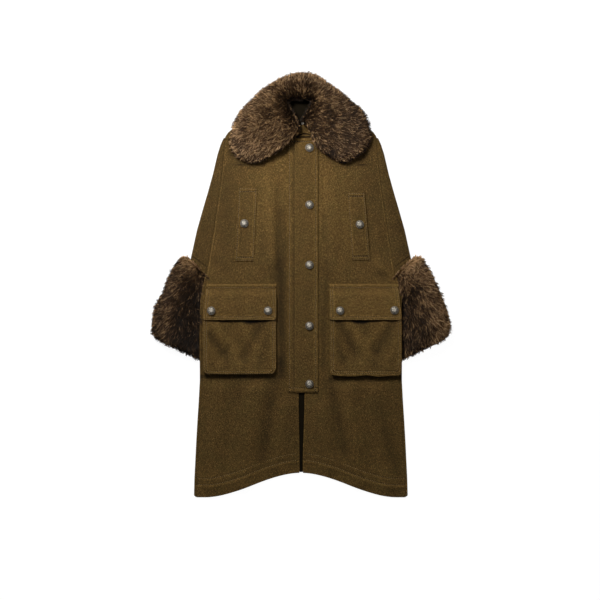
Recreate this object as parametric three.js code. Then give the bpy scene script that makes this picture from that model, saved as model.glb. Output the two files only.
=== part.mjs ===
// A loden wool cape coat with a fur collar and fur cuffs, laid flat on its back with its fronts up.
// Units are millimetres. +Z is up, +Y runs from the hem to the collar, and left and right are those
// of someone who looks down on the coat with its collar away from them, so +X is to the right.
// The origin is on the floor, at the middle of the coat's length and width.
import * as THREE from "three";

// ---------------------------------------------------------------------------------------------
// Driving dimensions
// ---------------------------------------------------------------------------------------------
const LENGTH = 1100; // top of the collar to the lowest point of the hem
const CUFF_SPAN = 776; // over both fur cuffs
const CLOTH = 2.5; // wall of the loden
const GAP = 0.35; // between two pieces that are sewn together or lie on each other
const HEM_LOW = -LENGTH / 2; // the hem at the two sides
const HEM_RISE = 68; // how much higher the hem is at the centre front
const HEM_SPAN = 250; // half width over which the hem sweeps up
const HEM_CORNER = 9; // how much of the hem's end is rounded
const BACK_HEM_INSET = 3; // the back's hem is this much shorter
const YOKE_SEAM = 312; // height of the seam between yoke and front
const UNDERARM = 24; // height at which the armhole ends and the side begins
const SHOULDER_END = 386; // height of the armhole's upper end
const COLLAR_REST = 9.6; // the collar lies this high, over the placket's upper end
const CUFF_LIFT = 18; // how far a cuff lifts the side of the coat that lies over it
const LIFT_MIDDLE = -90; // middle of the lifted stretch, along the coat
const LIFT_HALF = 260; // half the length of the lifted stretch
const LIFT_REACH = 190; // how far in from the side the lift reaches
const LIFT_LOOSE = 1.03; // the fronts lie a little looser there than the back does
const BODY_HALF = 262; // half width of the coat beside the pockets
const CUFF_SLOT = 1.5; // height of the flattened opening through a cuff
const BUTTON_RADIUS = 10.5;
const BUTTON_HEIGHT = 6.5;
const BUTTON_SIDES = 12;

const BACK_TOP = CLOTH;
const FRONT_UNDER = BACK_TOP + GAP;
const FRONT_TOP = FRONT_UNDER + CLOTH;

// Half width of the coat's body: the armhole seam above UNDERARM and the side seam below it.
const BODY_EDGE = [
  { y: 386, half: 196 },
  { y: 374, half: 197.5 },
  { y: 321, half: 203 },
  { y: 256, half: 210.5 },
  { y: 200, half: 219 },
  { y: 138, half: 228 },
  { y: 86, half: 236.5 },
  { y: 40, half: 243.5 },
  { y: 24, half: 247 },
  { y: 0, half: 254 },
  { y: -40, half: 260 },
  { y: -120, half: 262 },
  { y: -247, half: 262 },
  { y: -299, half: 265 },
  { y: -351, half: 268.5 },
  { y: -403, half: 271.5 },
  { y: -455, half: 274 },
  { y: -507, half: 276.5 },
  { y: -550, half: 277.5 },
];

// The shoulder line, from the neck point out to the armhole.
const SHOULDER = [
  { x: 72, y: 478 },
  { x: 120, y: 446 },
  { x: 178, y: 405 },
  { x: 189, y: 396 },
  { x: 196, y: SHOULDER_END },
];

// The front neckline, from the centre front out to the neck point.
const FRONT_NECK = [
  { x: 0, y: 386 },
  { x: 22, y: 392 },
  { x: 45, y: 412 },
  { x: 60, y: 440 },
  { x: 72, y: 478 },
];

// The two sides of the front opening: closed under the placket, and a vent that narrows below it.
const OPENING = [
  { y: 390, left: -6, right: 10.4 },
  { y: -280, left: -6, right: 10.4 },
  { y: -480, left: -2.6, right: 5.5 },
  { y: -550, left: -2.6, right: 5.5 },
];

// Sleeve rows from the shoulder down: the armhole point and the outer fold, and the cloth's rise.
const SLEEVE = [
  { seamX: 196.6, seamY: 383, foldX: 201, foldY: 381, rise: 0 },
  { seamX: 199.2, seamY: 364, foldX: 208.6, foldY: 364, rise: 0.3 },
  { seamX: 201.5, seamY: 340, foldX: 216.6, foldY: 339, rise: 0.6 },
  { seamX: 206.8, seamY: 290, foldX: 229, foldY: 286, rise: 1.2 },
  { seamX: 213.1, seamY: 240, foldX: 243, foldY: 236, rise: 2 },
  { seamX: 220.6, seamY: 190, foldX: 256.5, foldY: 190, rise: 2.6 },
  { seamX: 228.2, seamY: 138, foldX: 270, foldY: 142, rise: 3 },
  { seamX: 236.7, seamY: 86, foldX: 279, foldY: 100, rise: 3.4 },
  { seamX: 247.6, seamY: 24.5, foldX: 286.5, foldY: 65, rise: 3.6 },
];

// Columns across a sleeve, from the armhole on the front over the outer fold to the back.
const SLEEVE_COLUMNS = [
  { share: 0, side: "front", puff: 0 },
  { share: 0.35, side: "front", puff: 0.9 },
  { share: 0.7, side: "front", puff: 1 },
  { share: 0.9, side: "front", puff: 0.3 },
  { share: 1, side: "fold", puff: 0 },
  { share: 0.9, side: "back", puff: 0 },
  { share: 0.45, side: "back", puff: 0 },
  { share: 0, side: "back", puff: 0 },
];

// Fur cuff sections from the sleeve down: the end that is tucked under the coat, the outer end and
// the height of the pile.
const CUFF = [
  { innerX: 230.5, innerY: 5, outerX: 299, outerY: 74, loft: 24 },
  { innerX: 231, innerY: -6, outerX: 318, outerY: 72, loft: 34 },
  { innerX: 232, innerY: -28, outerX: 337, outerY: 44, loft: 42 },
  { innerX: 232, innerY: -58, outerX: 351, outerY: 12, loft: 46 },
  { innerX: 232, innerY: -92, outerX: 366, outerY: -22, loft: 48 },
  { innerX: 232, innerY: -126, outerX: 380, outerY: -58, loft: 48 },
  { innerX: 233, innerY: -158, outerX: CUFF_SPAN / 2, outerY: -94, loft: 46 },
  { innerX: 234, innerY: -184, outerX: 386, outerY: -122, loft: 38 },
  { innerX: 237, innerY: -203, outerX: 374, outerY: -139, loft: 22 },
];

// Share of the pile's height, over the part of a cuff that lies clear of the coat.
const CUFF_DOME = [
  { share: 0.08, height: 0.62 },
  { share: 0.22, height: 0.85 },
  { share: 0.42, height: 1 },
  { share: 0.62, height: 0.98 },
  { share: 0.8, height: 0.84 },
  { share: 0.93, height: 0.58 },
  { share: 1, height: 0.26 },
];

// Collar sections from the left front end around the neck to the right front end. The inner end is
// at the neck. What lies past the shoulders and the back neck drops to the floor.
const COLLAR = [
  { innerX: 4.4, innerY: 409.5, outerX: 1.5, outerY: 399, loft: 24 },
  { innerX: 3.6, innerY: 411.5, outerX: -9, outerY: 382, loft: 34 },
  { innerX: 2.4, innerY: 413.5, outerX: -32, outerY: 358, loft: 40 },
  { innerX: 0.8, innerY: 416, outerX: -71, outerY: 330, loft: 43 },
  { innerX: -1.2, innerY: 420, outerX: -122, outerY: 306, loft: 40 },
  { innerX: -4, innerY: 425, outerX: -158, outerY: 318, loft: 43 },
  { innerX: -8, innerY: 431, outerX: -180, outerY: 344, loft: 46 },
  { innerX: -13, innerY: 440, outerX: -183, outerY: 376, loft: 48 },
  { innerX: -18, innerY: 448.5, outerX: -176, outerY: 410, loft: 48 },
  { innerX: -23, innerY: 457.5, outerX: -162, outerY: 443, loft: 48 },
  { innerX: -28, innerY: 466, outerX: -139, outerY: 469, loft: 48 },
  { innerX: -29.5, innerY: 473, outerX: -105, outerY: 501, loft: 46 },
  { innerX: -23, innerY: 477, outerX: -62, outerY: 531, loft: 45 },
  { innerX: -12, innerY: 478, outerX: -27, outerY: 545, loft: 44 },
  { innerX: 1, innerY: 478, outerX: 5, outerY: LENGTH / 2, loft: 44 },
  { innerX: 14, innerY: 478, outerX: 38, outerY: 544, loft: 44 },
  { innerX: 25, innerY: 477, outerX: 72, outerY: 522, loft: 45 },
  { innerX: 30, innerY: 472, outerX: 106, outerY: 496, loft: 46 },
  { innerX: 29, innerY: 464, outerX: 134, outerY: 474, loft: 48 },
  { innerX: 26, innerY: 455, outerX: 158, outerY: 452, loft: 48 },
  { innerX: 22.5, innerY: 446, outerX: 175, outerY: 422, loft: 48 },
  { innerX: 18.5, innerY: 436, outerX: 177, outerY: 384, loft: 48 },
  { innerX: 14, innerY: 426.5, outerX: 168, outerY: 348, loft: 46 },
  { innerX: 11, innerY: 420, outerX: 148, outerY: 322, loft: 43 },
  { innerX: 9.2, innerY: 416, outerX: 122, outerY: 306, loft: 40 },
  { innerX: 8, innerY: 413.5, outerX: 76, outerY: 332, loft: 43 },
  { innerX: 7, innerY: 411.5, outerX: 42, outerY: 362, loft: 40 },
  { innerX: 5.8, innerY: 409.5, outerX: 17, outerY: 394, loft: 28 },
];

// Share of the pile's height across the collar, from the neck to its outer edge.
const COLLAR_DOME = [
  { share: 0, height: 0.5 },
  { share: 0.04, height: 0.78 },
  { share: 0.14, height: 0.95 },
  { share: 0.32, height: 1 },
  { share: 0.52, height: 0.98 },
  { share: 0.7, height: 0.88 },
  { share: 0.85, height: 0.7 },
  { share: 0.95, height: 0.45 },
  { share: 1, height: 0.14 },
];

// Soft folds of the two fronts, each a ridge between two points, with its half width and height.
const FOLDS = [
  { x1: -72, y1: 300, x2: -70, y2: 60, width: 20, height: 4 },
  { x1: -112, y1: 330, x2: -100, y2: 20, width: 16, height: 2.6 },
  { x1: -52, y1: 20, x2: -50, y2: -190, width: 15, height: 3.2 },
  { x1: -40, y1: -260, x2: -62, y2: -470, width: 26, height: 6 },
  { x1: -122, y1: -262, x2: -150, y2: -520, width: 30, height: 8 },
  { x1: -214, y1: -262, x2: -226, y2: -520, width: 28, height: 6 },
  { x1: 66, y1: 300, x2: 72, y2: 60, width: 20, height: 4 },
  { x1: 96, y1: 60, x2: 60, y2: -240, width: 16, height: 3 },
  { x1: 184, y1: 66, x2: 240, y2: 16, width: 16, height: 5 },
  { x1: 50, y1: -270, x2: 66, y2: -470, width: 24, height: 5 },
  { x1: 112, y1: -262, x2: 150, y2: -510, width: 28, height: 8 },
  { x1: 190, y1: -262, x2: 228, y2: -520, width: 26, height: 6 },
];
const FOLD_END = 60; // over which a fold fades out past its ends
const FOLD_MARGIN = 26; // over which a fold fades out beside a sewn-on piece or a side seam
const SMOOTH_MARGIN = 14; // the fronts stay smooth this far round a sewn-on piece

const PLACKET = { left: -33, step: -15.6, right: 44.7, top: 380.6, bottom: -279.5 };
const PLACKET_THIN = 1.6; // where it is sewn down along its left side
const PLACKET_THICK = 3.4; // doubled cloth, up to its free right edge
const PLACKET_END_ROLL = 1.5; // how much thicker its turned lower end is
const STAND_BOTTOM = -277; // the button stand ends just inside the placket's lower end
const STAND_TOP = 383;

const WELTS = [
  { name: "welt_left", topLeft: -162, topRight: -113, bottomLeft: -171, bottomRight: -122,
    top: 252, bottom: 62, lip: "left" },
  { name: "welt_right", topLeft: 120, topRight: 166, bottomLeft: 132, bottomRight: 180,
    top: 240, bottom: 65, lip: "right" },
];
const WELT_LIP = 1.4; // how far its open edge stands off the front

// inner and outer are the edges towards the centre front and the side; side is the way to the side.
const POCKETS = [
  { name: "pocket_left", side: -1, inner: 64, outer: 253, flapOuterTop: 244 },
  { name: "pocket_right", side: 1, inner: 75, outer: 260.5, flapOuterTop: 252 },
];
const POCKET_TOP = -28; // its open upper edge, under the flap
const POCKET_BOTTOM = -233;
const POCKET_CORNER = 14; // radius of its lower corners
const RIM_TOP = 3.5; // height of the bellows at the upper end
const RIM_BOTTOM = 10; // and at the bottom
const RIM_FLAT = 11; // width of the flat rim, over the bellows
const RIM_FALL = 62; // over which the face sags from its rim to the front
const SAG = 1; // the sagged face stays this far off the front
const GUSSET_INSET = 1.6;
const FLAP_TOP = 2.6;
const FLAP_BOTTOM = -91;
const FLAP_CLOTH = 3;
const FLAP_SAG = 1.6;

// Rows of a flap from its sewn edge down: distance from that edge, height of the underside and
// thickness. The first rows are the rolled seam, and the last ones lie on the pocket.
const FLAP_ROWS = [
  { down: 0, under: 0, thick: 2.4 },
  { down: 2, under: 0, thick: 5 },
  { down: 8, under: 0, thick: 5.2 },
  { down: 12, under: 0.2, thick: 2.9 },
  { down: 18, under: 2.2, thick: FLAP_CLOTH },
  { down: 28, under: 6.6, thick: FLAP_CLOTH },
  { down: 50, under: 8, thick: FLAP_CLOTH },
  { down: 74, under: 8.7, thick: FLAP_CLOTH },
  { down: 89, under: 9, thick: FLAP_CLOTH },
  { down: FLAP_TOP - FLAP_BOTTOM, under: 9.2, thick: FLAP_CLOTH * 0.8 },
];

const PLACKET_BUTTONS = { x: 22.4, heights: [356, 208, 52, -106, -257] };
const WELT_BUTTONS = [
  { name: "button_welt_left", x: -146.6, y: 159.6 },
  { name: "button_welt_right", x: 153, y: 157 },
];
const FLAP_BUTTONS = [
  { name: "button_flap_left_outer", x: -231.4, y: -66.8 },
  { name: "button_flap_left_inner", x: -85.3, y: -66.8 },
  { name: "button_flap_right_inner", x: 101.7, y: -66.6 },
  { name: "button_flap_right_outer", x: 241.8, y: -65.4 },
];

const FINISH = {
  loden: { color: 0x4f3f1f, roughness: 0.95, metalness: 0 },
  fur: { color: 0x4a3826, roughness: 0.9, metalness: 0 },
  lining: { color: 0x17170f, roughness: 0.8, metalness: 0 },
  metal: { color: 0x9a958c, roughness: 0.35, metalness: 0.9 },
};

// ---------------------------------------------------------------------------------------------
// Small helpers
// ---------------------------------------------------------------------------------------------
const lerp = THREE.MathUtils.lerp;
const clamp = THREE.MathUtils.clamp;
const smooth = (t) => THREE.MathUtils.smoothstep(t, 0, 1);
const steps = (count) => Array.from({ length: count + 1 }, (_, i) => i / count);

// Reads column `out` of a table at `at`, straight between the rows, whose column `key` runs one way.
function read(table, key, out, at) {
  const rising = table[0][key] < table[table.length - 1][key];
  const first = rising ? table[0] : table[table.length - 1];
  const last = rising ? table[table.length - 1] : table[0];
  if (at <= first[key]) return first[out];
  if (at >= last[key]) return last[out];
  const next = table.findIndex((row) => (rising ? row[key] >= at : row[key] <= at));
  const [a, b] = [table[next - 1], table[next]];
  return lerp(a[out], b[out], (at - a[key]) / (b[key] - a[key]));
}

const bodyEdge = (y) => read(BODY_EDGE, "y", "half", y);

// Height of the hem at x.
function hem(x) {
  const across = smooth(Math.abs(x) / HEM_SPAN);
  const corner = clamp((Math.abs(x) - bodyEdge(HEM_LOW) + HEM_CORNER) / HEM_CORNER, 0, 1);
  return HEM_LOW + HEM_RISE * (1 - across) + 0.6 * HEM_CORNER * corner ** 2;
}

// How far the cuffs lift the cloth at a point.
function lift(x, y) {
  const inward = clamp((BODY_HALF - Math.abs(x)) / LIFT_REACH, 0, 1);
  const along = clamp(Math.abs(y - LIFT_MIDDLE) / LIFT_HALF, 0, 1);
  return CUFF_LIFT * (1 - inward) ** 2 * Math.cos((along * Math.PI) / 2) ** 2;
}

// The pieces sewn onto the fronts, beneath which the fronts stay smooth.
const SMOOTH_PLACES = [
  { left: PLACKET.left, right: PLACKET.right, bottom: PLACKET.bottom, top: LENGTH / 2 },
  { left: -LENGTH, right: LENGTH, bottom: YOKE_SEAM - 6, top: LENGTH / 2 },
  ...WELTS.map((w) => ({
    left: Math.min(w.topLeft, w.bottomLeft),
    right: Math.max(w.topRight, w.bottomRight),
    bottom: w.bottom,
    top: w.top,
  })),
  ...POCKETS.map((p) => ({
    left: p.side < 0 ? -p.outer : p.inner,
    right: p.side < 0 ? -p.inner : p.outer,
    bottom: POCKET_BOTTOM,
    top: FLAP_TOP,
  })),
];

// Height of the folds above the smooth front at a point.
function folds(x, y) {
  let free = smooth((bodyEdge(y) - Math.abs(x)) / FOLD_MARGIN);
  for (const place of SMOOTH_PLACES) {
    const dx = Math.max(place.left - x, x - place.right, 0);
    const dy = Math.max(place.bottom - y, y - place.top, 0);
    free *= smooth((Math.hypot(dx, dy) - SMOOTH_MARGIN) / FOLD_MARGIN);
  }
  let height = 0;
  for (const fold of FOLDS) {
    const along = new THREE.Vector2(fold.x2 - fold.x1, fold.y2 - fold.y1);
    const from = new THREE.Vector2(x - fold.x1, y - fold.y1);
    const share = from.dot(along) / along.lengthSq();
    const nearest = along.clone().multiplyScalar(clamp(share, 0, 1));
    const past = Math.abs(share - clamp(share, 0, 1)) * along.length();
    const away = from.distanceTo(nearest) / fold.width;
    height += fold.height * Math.exp(-(away ** 2)) * (1 - smooth(past / FOLD_END));
  }
  return height * free;
}

const backUnder = (x, y) => lift(x, y);
const smoothFront = (x, y) => FRONT_TOP + LIFT_LOOSE * lift(x, y);
const frontTop = (x, y) => smoothFront(x, y) + folds(x, y);

// A closed body with its faces outwards, from points and triangles.
function closedBody(points, triangles) {
  let volume = 0;
  for (const [a, b, c] of triangles) volume += points[a].dot(points[b].clone().cross(points[c]));
  const index = volume > 0 ? triangles.flat() : triangles.flatMap(([a, b, c]) => [a, c, b]);
  const geometry = new THREE.BufferGeometry().setFromPoints(points);
  geometry.setIndex(index);
  return geometry;
}

// A wall between two equal grids of points, rows by columns. With wrap, the last column joins the
// first one and the wall is a ring.
function wall(outer, inner, wrap = false) {
  const [rows, columns] = [outer.length, outer[0].length];
  const points = [...outer.flat(), ...inner.flat()];
  const at = (side, i, j) => side * rows * columns + i * columns + (j % columns);
  const triangles = [];
  const quad = (a, b, c, d) => triangles.push([a, b, c], [a, c, d]);
  const lastColumn = wrap ? columns : columns - 1;
  for (let i = 0; i + 1 < rows; i += 1) {
    for (let j = 0; j < lastColumn; j += 1) {
      quad(at(0, i, j), at(0, i, j + 1), at(0, i + 1, j + 1), at(0, i + 1, j));
      quad(at(1, i, j), at(1, i + 1, j), at(1, i + 1, j + 1), at(1, i, j + 1));
    }
  }
  for (let j = 0; j < lastColumn; j += 1) {
    quad(at(0, 0, j + 1), at(0, 0, j), at(1, 0, j), at(1, 0, j + 1));
    quad(at(0, rows - 1, j), at(0, rows - 1, j + 1), at(1, rows - 1, j + 1), at(1, rows - 1, j));
  }
  for (let i = 0; i + 1 < rows && !wrap; i += 1) {
    quad(at(0, i, 0), at(0, i + 1, 0), at(1, i + 1, 0), at(1, i, 0));
    const last = columns - 1;
    quad(at(0, i + 1, last), at(0, i, last), at(1, i, last), at(1, i + 1, last));
  }
  return closedBody(points, triangles);
}

// A wall over a plan grid: place(i, j) gives { x, y, under, top }.
function plate(rows, columns, place) {
  const grid = rows.map((row) => columns.map((column) => place(row, column)));
  const level = (key) => grid.map((line) => line.map((p) => new THREE.Vector3(p.x, p.y, p[key])));
  return wall(level("top"), level("under"));
}

const coat = new THREE.Group();

function add(name, finish, geometry, x = 0, y = 0, z = 0) {
  const mesh = new THREE.Mesh(geometry, new THREE.MeshStandardMaterial(FINISH[finish]));
  mesh.name = name;
  mesh.position.set(x, y, z);
  coat.add(mesh);
}

// ---------------------------------------------------------------------------------------------
// Back, fronts and yokes
// ---------------------------------------------------------------------------------------------
// Rows follow a level line at mid length, the hem's sweep at the bottom and `top` at the upper end.
const HEM_FADE = 230; // above the lowest point of the hem, where its sweep has faded out
const TOP_FADE = 170; // below the shoulder's end, where the upper edge's shape has faded out

function sweepRow(x, level, hemAt, topAt) {
  const low = 1 - smooth((level - HEM_LOW) / HEM_FADE);
  const high = smooth((level - SHOULDER_END + TOP_FADE) / TOP_FADE);
  return level + low * (hemAt(x) - HEM_LOW) + high * (topAt(x) - SHOULDER_END);
}

function backTopLine(x) {
  const neckPoint = SHOULDER[0];
  if (Math.abs(x) < neckPoint.x) return neckPoint.y + 8 * (1 - (Math.abs(x) / neckPoint.x) ** 2);
  return read(SHOULDER, "x", "y", Math.abs(x));
}

function buildBack() {
  const rows = steps(24).map((t) => lerp(HEM_LOW, SHOULDER_END, t));
  const shares = [-1, -0.93, -0.86, -0.78, -0.7, -0.62, -0.52, -0.365, -0.18, 0];
  const columns = [...shares, ...shares.slice(0, -1).reverse().map((share) => -share)];
  const place = (level, share) => {
    const x = share * bodyEdge(level);
    const y = sweepRow(x, level, (at) => hem(at) + BACK_HEM_INSET, backTopLine);
    return { x, y, under: backUnder(x, y), top: backUnder(x, y) + BACK_TOP };
  };
  add("back_panel", "loden", plate(rows, columns, place));
}

function buildFront(side, name) {
  const rows = steps(31).map((t) => lerp(HEM_LOW, YOKE_SEAM - GAP / 2, t));
  const place = (level, share) => {
    const inner = read(OPENING, "y", side < 0 ? "left" : "right", level);
    const x = lerp(inner, side * bodyEdge(level), share);
    const low = 1 - smooth((level - HEM_LOW) / HEM_FADE);
    const y = level + low * (hem(x) - HEM_LOW);
    return { x, y, under: frontTop(x, y) - CLOTH, top: frontTop(x, y) };
  };
  add(name, "loden", plate(rows, steps(12), place));
}

function yokeTopLine(x) {
  const neckPoint = SHOULDER[0];
  if (Math.abs(x) < neckPoint.x) return read(FRONT_NECK, "x", "y", Math.abs(x));
  return read(SHOULDER, "x", "y", Math.abs(x));
}

function buildYoke(side, name) {
  const columns = [0, 0.07, 0.18, 0.26, 0.33, 0.45, 0.58, 0.72, 0.88, 0.95, 1];
  const inner = read(OPENING, "y", side < 0 ? "left" : "right", YOKE_SEAM);
  const place = (share, column) => {
    const x = lerp(inner, side * bodyEdge(lerp(YOKE_SEAM, SHOULDER_END, share)), column);
    const y = lerp(YOKE_SEAM + GAP / 2, yokeTopLine(x), share);
    return { x, y, under: FRONT_UNDER, top: FRONT_TOP };
  };
  add(name, "loden", plate(steps(4), columns, place));
}

// ---------------------------------------------------------------------------------------------
// Sleeves: one cloth, folded round the outer edge, from the front armhole to the back armhole
// ---------------------------------------------------------------------------------------------
function buildSleeve(side, name) {
  const outer = [];
  const inner = [];
  for (const row of SLEEVE) {
    const width = row.foldX - row.seamX;
    const inset = 1 - CLOTH / width;
    const point = (share, level) => {
      const x = lerp(row.seamX + GAP, row.foldX, share);
      const y = lerp(row.seamY, row.foldY, share);
      return new THREE.Vector3(side * x, y, level + lift(x, y));
    };
    const middle = (BACK_TOP + FRONT_UNDER) / 2;
    outer.push(SLEEVE_COLUMNS.map((column) => {
      const level = { front: FRONT_TOP + column.puff * row.rise, fold: middle, back: 0 };
      return point(column.share, level[column.side]);
    }));
    inner.push(SLEEVE_COLUMNS.map((column) => {
      const level = { front: FRONT_UNDER + column.puff * row.rise, fold: middle, back: BACK_TOP };
      return point(column.share * inset, level[column.side]);
    }));
  }
  add(name, "loden", wall(outer, inner));
}

// ---------------------------------------------------------------------------------------------
// Fur cuffs: flattened rings, tucked under the sides of the coat by their inner ends
// ---------------------------------------------------------------------------------------------
function buildCuff(side, name) {
  const outer = [];
  const inner = [];
  for (const row of CUFF) {
    const across = (share) => ({
      x: lerp(row.innerX, row.outerX, share),
      y: lerp(row.innerY, row.outerY, share),
    });
    const clearOf = (share) => {
      const at = across(share);
      return at.x - bodyEdge(Math.min(at.y, UNDERARM)) - 5;
    };
    const clear = steps(200).find((share) => clearOf(share) > 0);
    const tucked = (share) => {
      const at = across(share);
      return clamp(backUnder(at.x, at.y) - 0.7, 2, row.loft * 0.5);
    };
    const tops = [0, 0.5, 1].map((t) => ({ share: t * clear, height: tucked(t * clear) }));
    for (const dome of CUFF_DOME) {
      const height = Math.max(dome.height * row.loft, dome.share < 0.5 ? tucked(clear) : 0);
      tops.push({ share: lerp(clear, 1, dome.share), height });
    }
    const floor = [1, 0.84, 0.6, 0.36, 0.14, 0].map((share) => ({ share, height: 0 }));
    const slotLevel = (share) => Math.min(0.4 * read(tops, "share", "height", share), 12);
    const loop = [...tops, ...floor];
    outer.push(loop.map((p) => {
      const at = across(p.share);
      return new THREE.Vector3(side * at.x, at.y, p.height);
    }));
    inner.push(loop.map((p) => {
      const share = lerp(0.1, 0.92, p.share);
      const at = across(share);
      const half = p.height > 0 ? CUFF_SLOT / 2 : -CUFF_SLOT / 2;
      return new THREE.Vector3(side * at.x, at.y, slotLevel(share) + half);
    }));
  }
  add(name, "fur", wall(outer, inner, true));
}

// ---------------------------------------------------------------------------------------------
// Fur collar, neck and hook
// ---------------------------------------------------------------------------------------------
const COLLAR_DROP = 30; // a section drops to the floor where at least this much of it is past the cloth
const COLLAR_CLEAR = 5; // it drops this far outside the cloth

// The share of a collar section that lies on the cloth.
function lapOf(row) {
  const past = steps(100).find((share) => {
    const x = lerp(row.innerX, row.outerX, share);
    return lerp(row.innerY, row.outerY, share) > backTopLine(x) + COLLAR_CLEAR;
  });
  const length = Math.hypot(row.outerX - row.innerX, row.outerY - row.innerY);
  return past === undefined || (1 - past) * length < COLLAR_DROP ? 1 : past;
}

function buildCollar() {
  const top = [];
  const under = [];
  for (const row of COLLAR) {
    const lap = lapOf(row);
    const point = (share, level) => new THREE.Vector3(
      lerp(row.innerX, row.outerX, share), lerp(row.innerY, row.outerY, share), level);
    top.push(COLLAR_DOME.map((column) => point(
      column.share, COLLAR_REST + (row.loft - COLLAR_REST) * column.height)));
    const floor = lap < 1 ? 0 : COLLAR_REST;
    const onCloth = steps(COLLAR_DOME.length - 3).map((t) => point(0.98 * t * lap, COLLAR_REST));
    under.push([...onCloth, point(0.99 * lap, floor), point(1, floor)]);
  }
  add("collar", "fur", wall(top, under));
}

const FACING_CLOTH = 1.2;
const FACING_CLEAR = 3; // between the facing and the yokes' necklines

function buildNeckFacing() {
  const rows = [400, 412, 426, 440, 456, 478];
  const place = (y, share) => {
    const half = read([...FRONT_NECK].reverse(), "y", "x", y) - FACING_CLEAR;
    return { x: share * half, y, under: FRONT_UNDER, top: FRONT_UNDER + FACING_CLOTH };
  };
  add("neck_facing", "lining", plate(rows, [-1, -0.4, 0.4, 1], place));
}

const BAND = { middle: 12, half: 24, lower: 383.4, upper: 391, lowerSag: 1.6, upperSag: 5 };

function buildNeckBand() {
  const place = (upper, share) => {
    const line = upper ? BAND.upper - BAND.upperSag * share ** 2 : BAND.lower - BAND.lowerSag * share ** 2;
    const under = FRONT_TOP + GAP;
    return { x: BAND.middle + BAND.half * share, y: line, under, top: under + 2 };
  };
  add("neck_band", "loden", plate([0, 1], steps(6).map((t) => 2 * t - 1), place));
}

const HOOK = { x: 4.6, y: 417.4, z: 27, wire: 0.8, half: 2.9, bend: 1.5 };

// The hook of a hook and eye: one bent wire that bridges the throat between the collar's two ends.
function buildHook() {
  const path = new THREE.CatmullRomCurve3([
    new THREE.Vector3(-HOOK.half, HOOK.bend, 0),
    new THREE.Vector3(HOOK.half * 0.5, HOOK.bend, 0),
    new THREE.Vector3(HOOK.half, 0, 0),
    new THREE.Vector3(HOOK.half * 0.5, -HOOK.bend, 0),
    new THREE.Vector3(-HOOK.half, -HOOK.bend, 0),
  ]);
  const section = new THREE.Shape(
    steps(6).slice(0, -1).map((t) => new THREE.Vector2(
      HOOK.wire * Math.cos(2 * Math.PI * t),
      HOOK.wire * Math.sin(2 * Math.PI * t),
    )),
  );
  const wire = new THREE.ExtrudeGeometry(section, { steps: 14, extrudePath: path, bevelEnabled: false });
  add("hook", "metal", wire, HOOK.x, HOOK.y, HOOK.z);
}

// ---------------------------------------------------------------------------------------------
// Placket and button stand
// ---------------------------------------------------------------------------------------------
function buildPlacket() {
  const { left, step, right, top, bottom } = PLACKET;
  const columns = [left, step - 1.2, step, (step + right) / 2, right - 4, right];
  const rows = [bottom, bottom + 2.5, bottom + 8, bottom + 12, ...steps(14).map(
    (t) => lerp(bottom + 30, top - 9, t)), top - 6, top];
  const place = (y, x) => {
    const thick = x < step ? PLACKET_THIN : PLACKET_THICK;
    const roll = y > bottom && y < bottom + 12 ? PLACKET_END_ROLL : 0;
    const under = FRONT_TOP + GAP;
    return { x, y, under, top: under + thick + roll };
  };
  add("placket", "loden", plate(rows, columns, place));
}

function buildButtonStand() {
  const rows = steps(12).map((t) => lerp(STAND_BOTTOM, STAND_TOP, t));
  const place = (y, column) => {
    const edge = read(OPENING, "y", column, y);
    const x = column === "left" ? edge + GAP : edge - GAP;
    return { x, y, under: FRONT_UNDER, top: FRONT_TOP };
  };
  add("button_stand", "loden", plate(rows, ["left", "right"], place));
}

// ---------------------------------------------------------------------------------------------
// Chest welts
// ---------------------------------------------------------------------------------------------
function buildWelt(welt) {
  const place = (down, share) => {
    const left = lerp(welt.topLeft, welt.bottomLeft, down);
    const right = lerp(welt.topRight, welt.bottomRight, down);
    const x = lerp(left, right, share);
    const y = lerp(welt.top, welt.bottom, down);
    const towardsLip = welt.lip === "left" ? 1 - share : share;
    const open = WELT_LIP * towardsLip ** 2 * Math.sin(Math.PI * down);
    const under = frontTop(x, y) + GAP + open;
    return { x, y, under, top: under + CLOTH };
  };
  add(welt.name, "loden", plate(steps(9), steps(4), place));
}

// ---------------------------------------------------------------------------------------------
// Bellows pockets: face, gusset and flap
// ---------------------------------------------------------------------------------------------
function rimHeight(y) {
  const up = (y - POCKET_BOTTOM) / (POCKET_TOP - POCKET_BOTTOM);
  return lerp(RIM_BOTTOM, RIM_TOP, clamp(up, 0, 1));
}

// How far the rounded lower corner draws the pocket's edge in, at a height.
function cornerInset(y) {
  const up = y - POCKET_BOTTOM;
  if (up >= POCKET_CORNER) return 0;
  return POCKET_CORNER - Math.sqrt(POCKET_CORNER ** 2 - (POCKET_CORNER - up) ** 2);
}

function buildPocketFace(pocket) {
  const rows = [0, 1.2, 4.5, 9, 14, 26, 46, 72, 104, 140, 174, POCKET_TOP - POCKET_BOTTOM];
  const columns = [0, 0.035, 0.075, 0.17, 0.28, 0.42, 0.58, 0.72, 0.83, 0.925, 0.965, 1];
  const place = (up, share) => {
    const y = POCKET_BOTTOM + up;
    const inset = cornerInset(y);
    const across = lerp(pocket.inner + inset, pocket.outer - inset, share);
    const x = pocket.side * across;
    const fromRim = Math.min(across - pocket.inner, pocket.outer - across, up);
    const fall = smooth((fromRim - RIM_FLAT) / RIM_FALL);
    const under = smoothFront(x, y) + lerp(rimHeight(y), SAG, fall);
    return { x, y, under, top: under + CLOTH };
  };
  add(`${pocket.name}_face`, "loden", plate(rows, columns, place));
}

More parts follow.
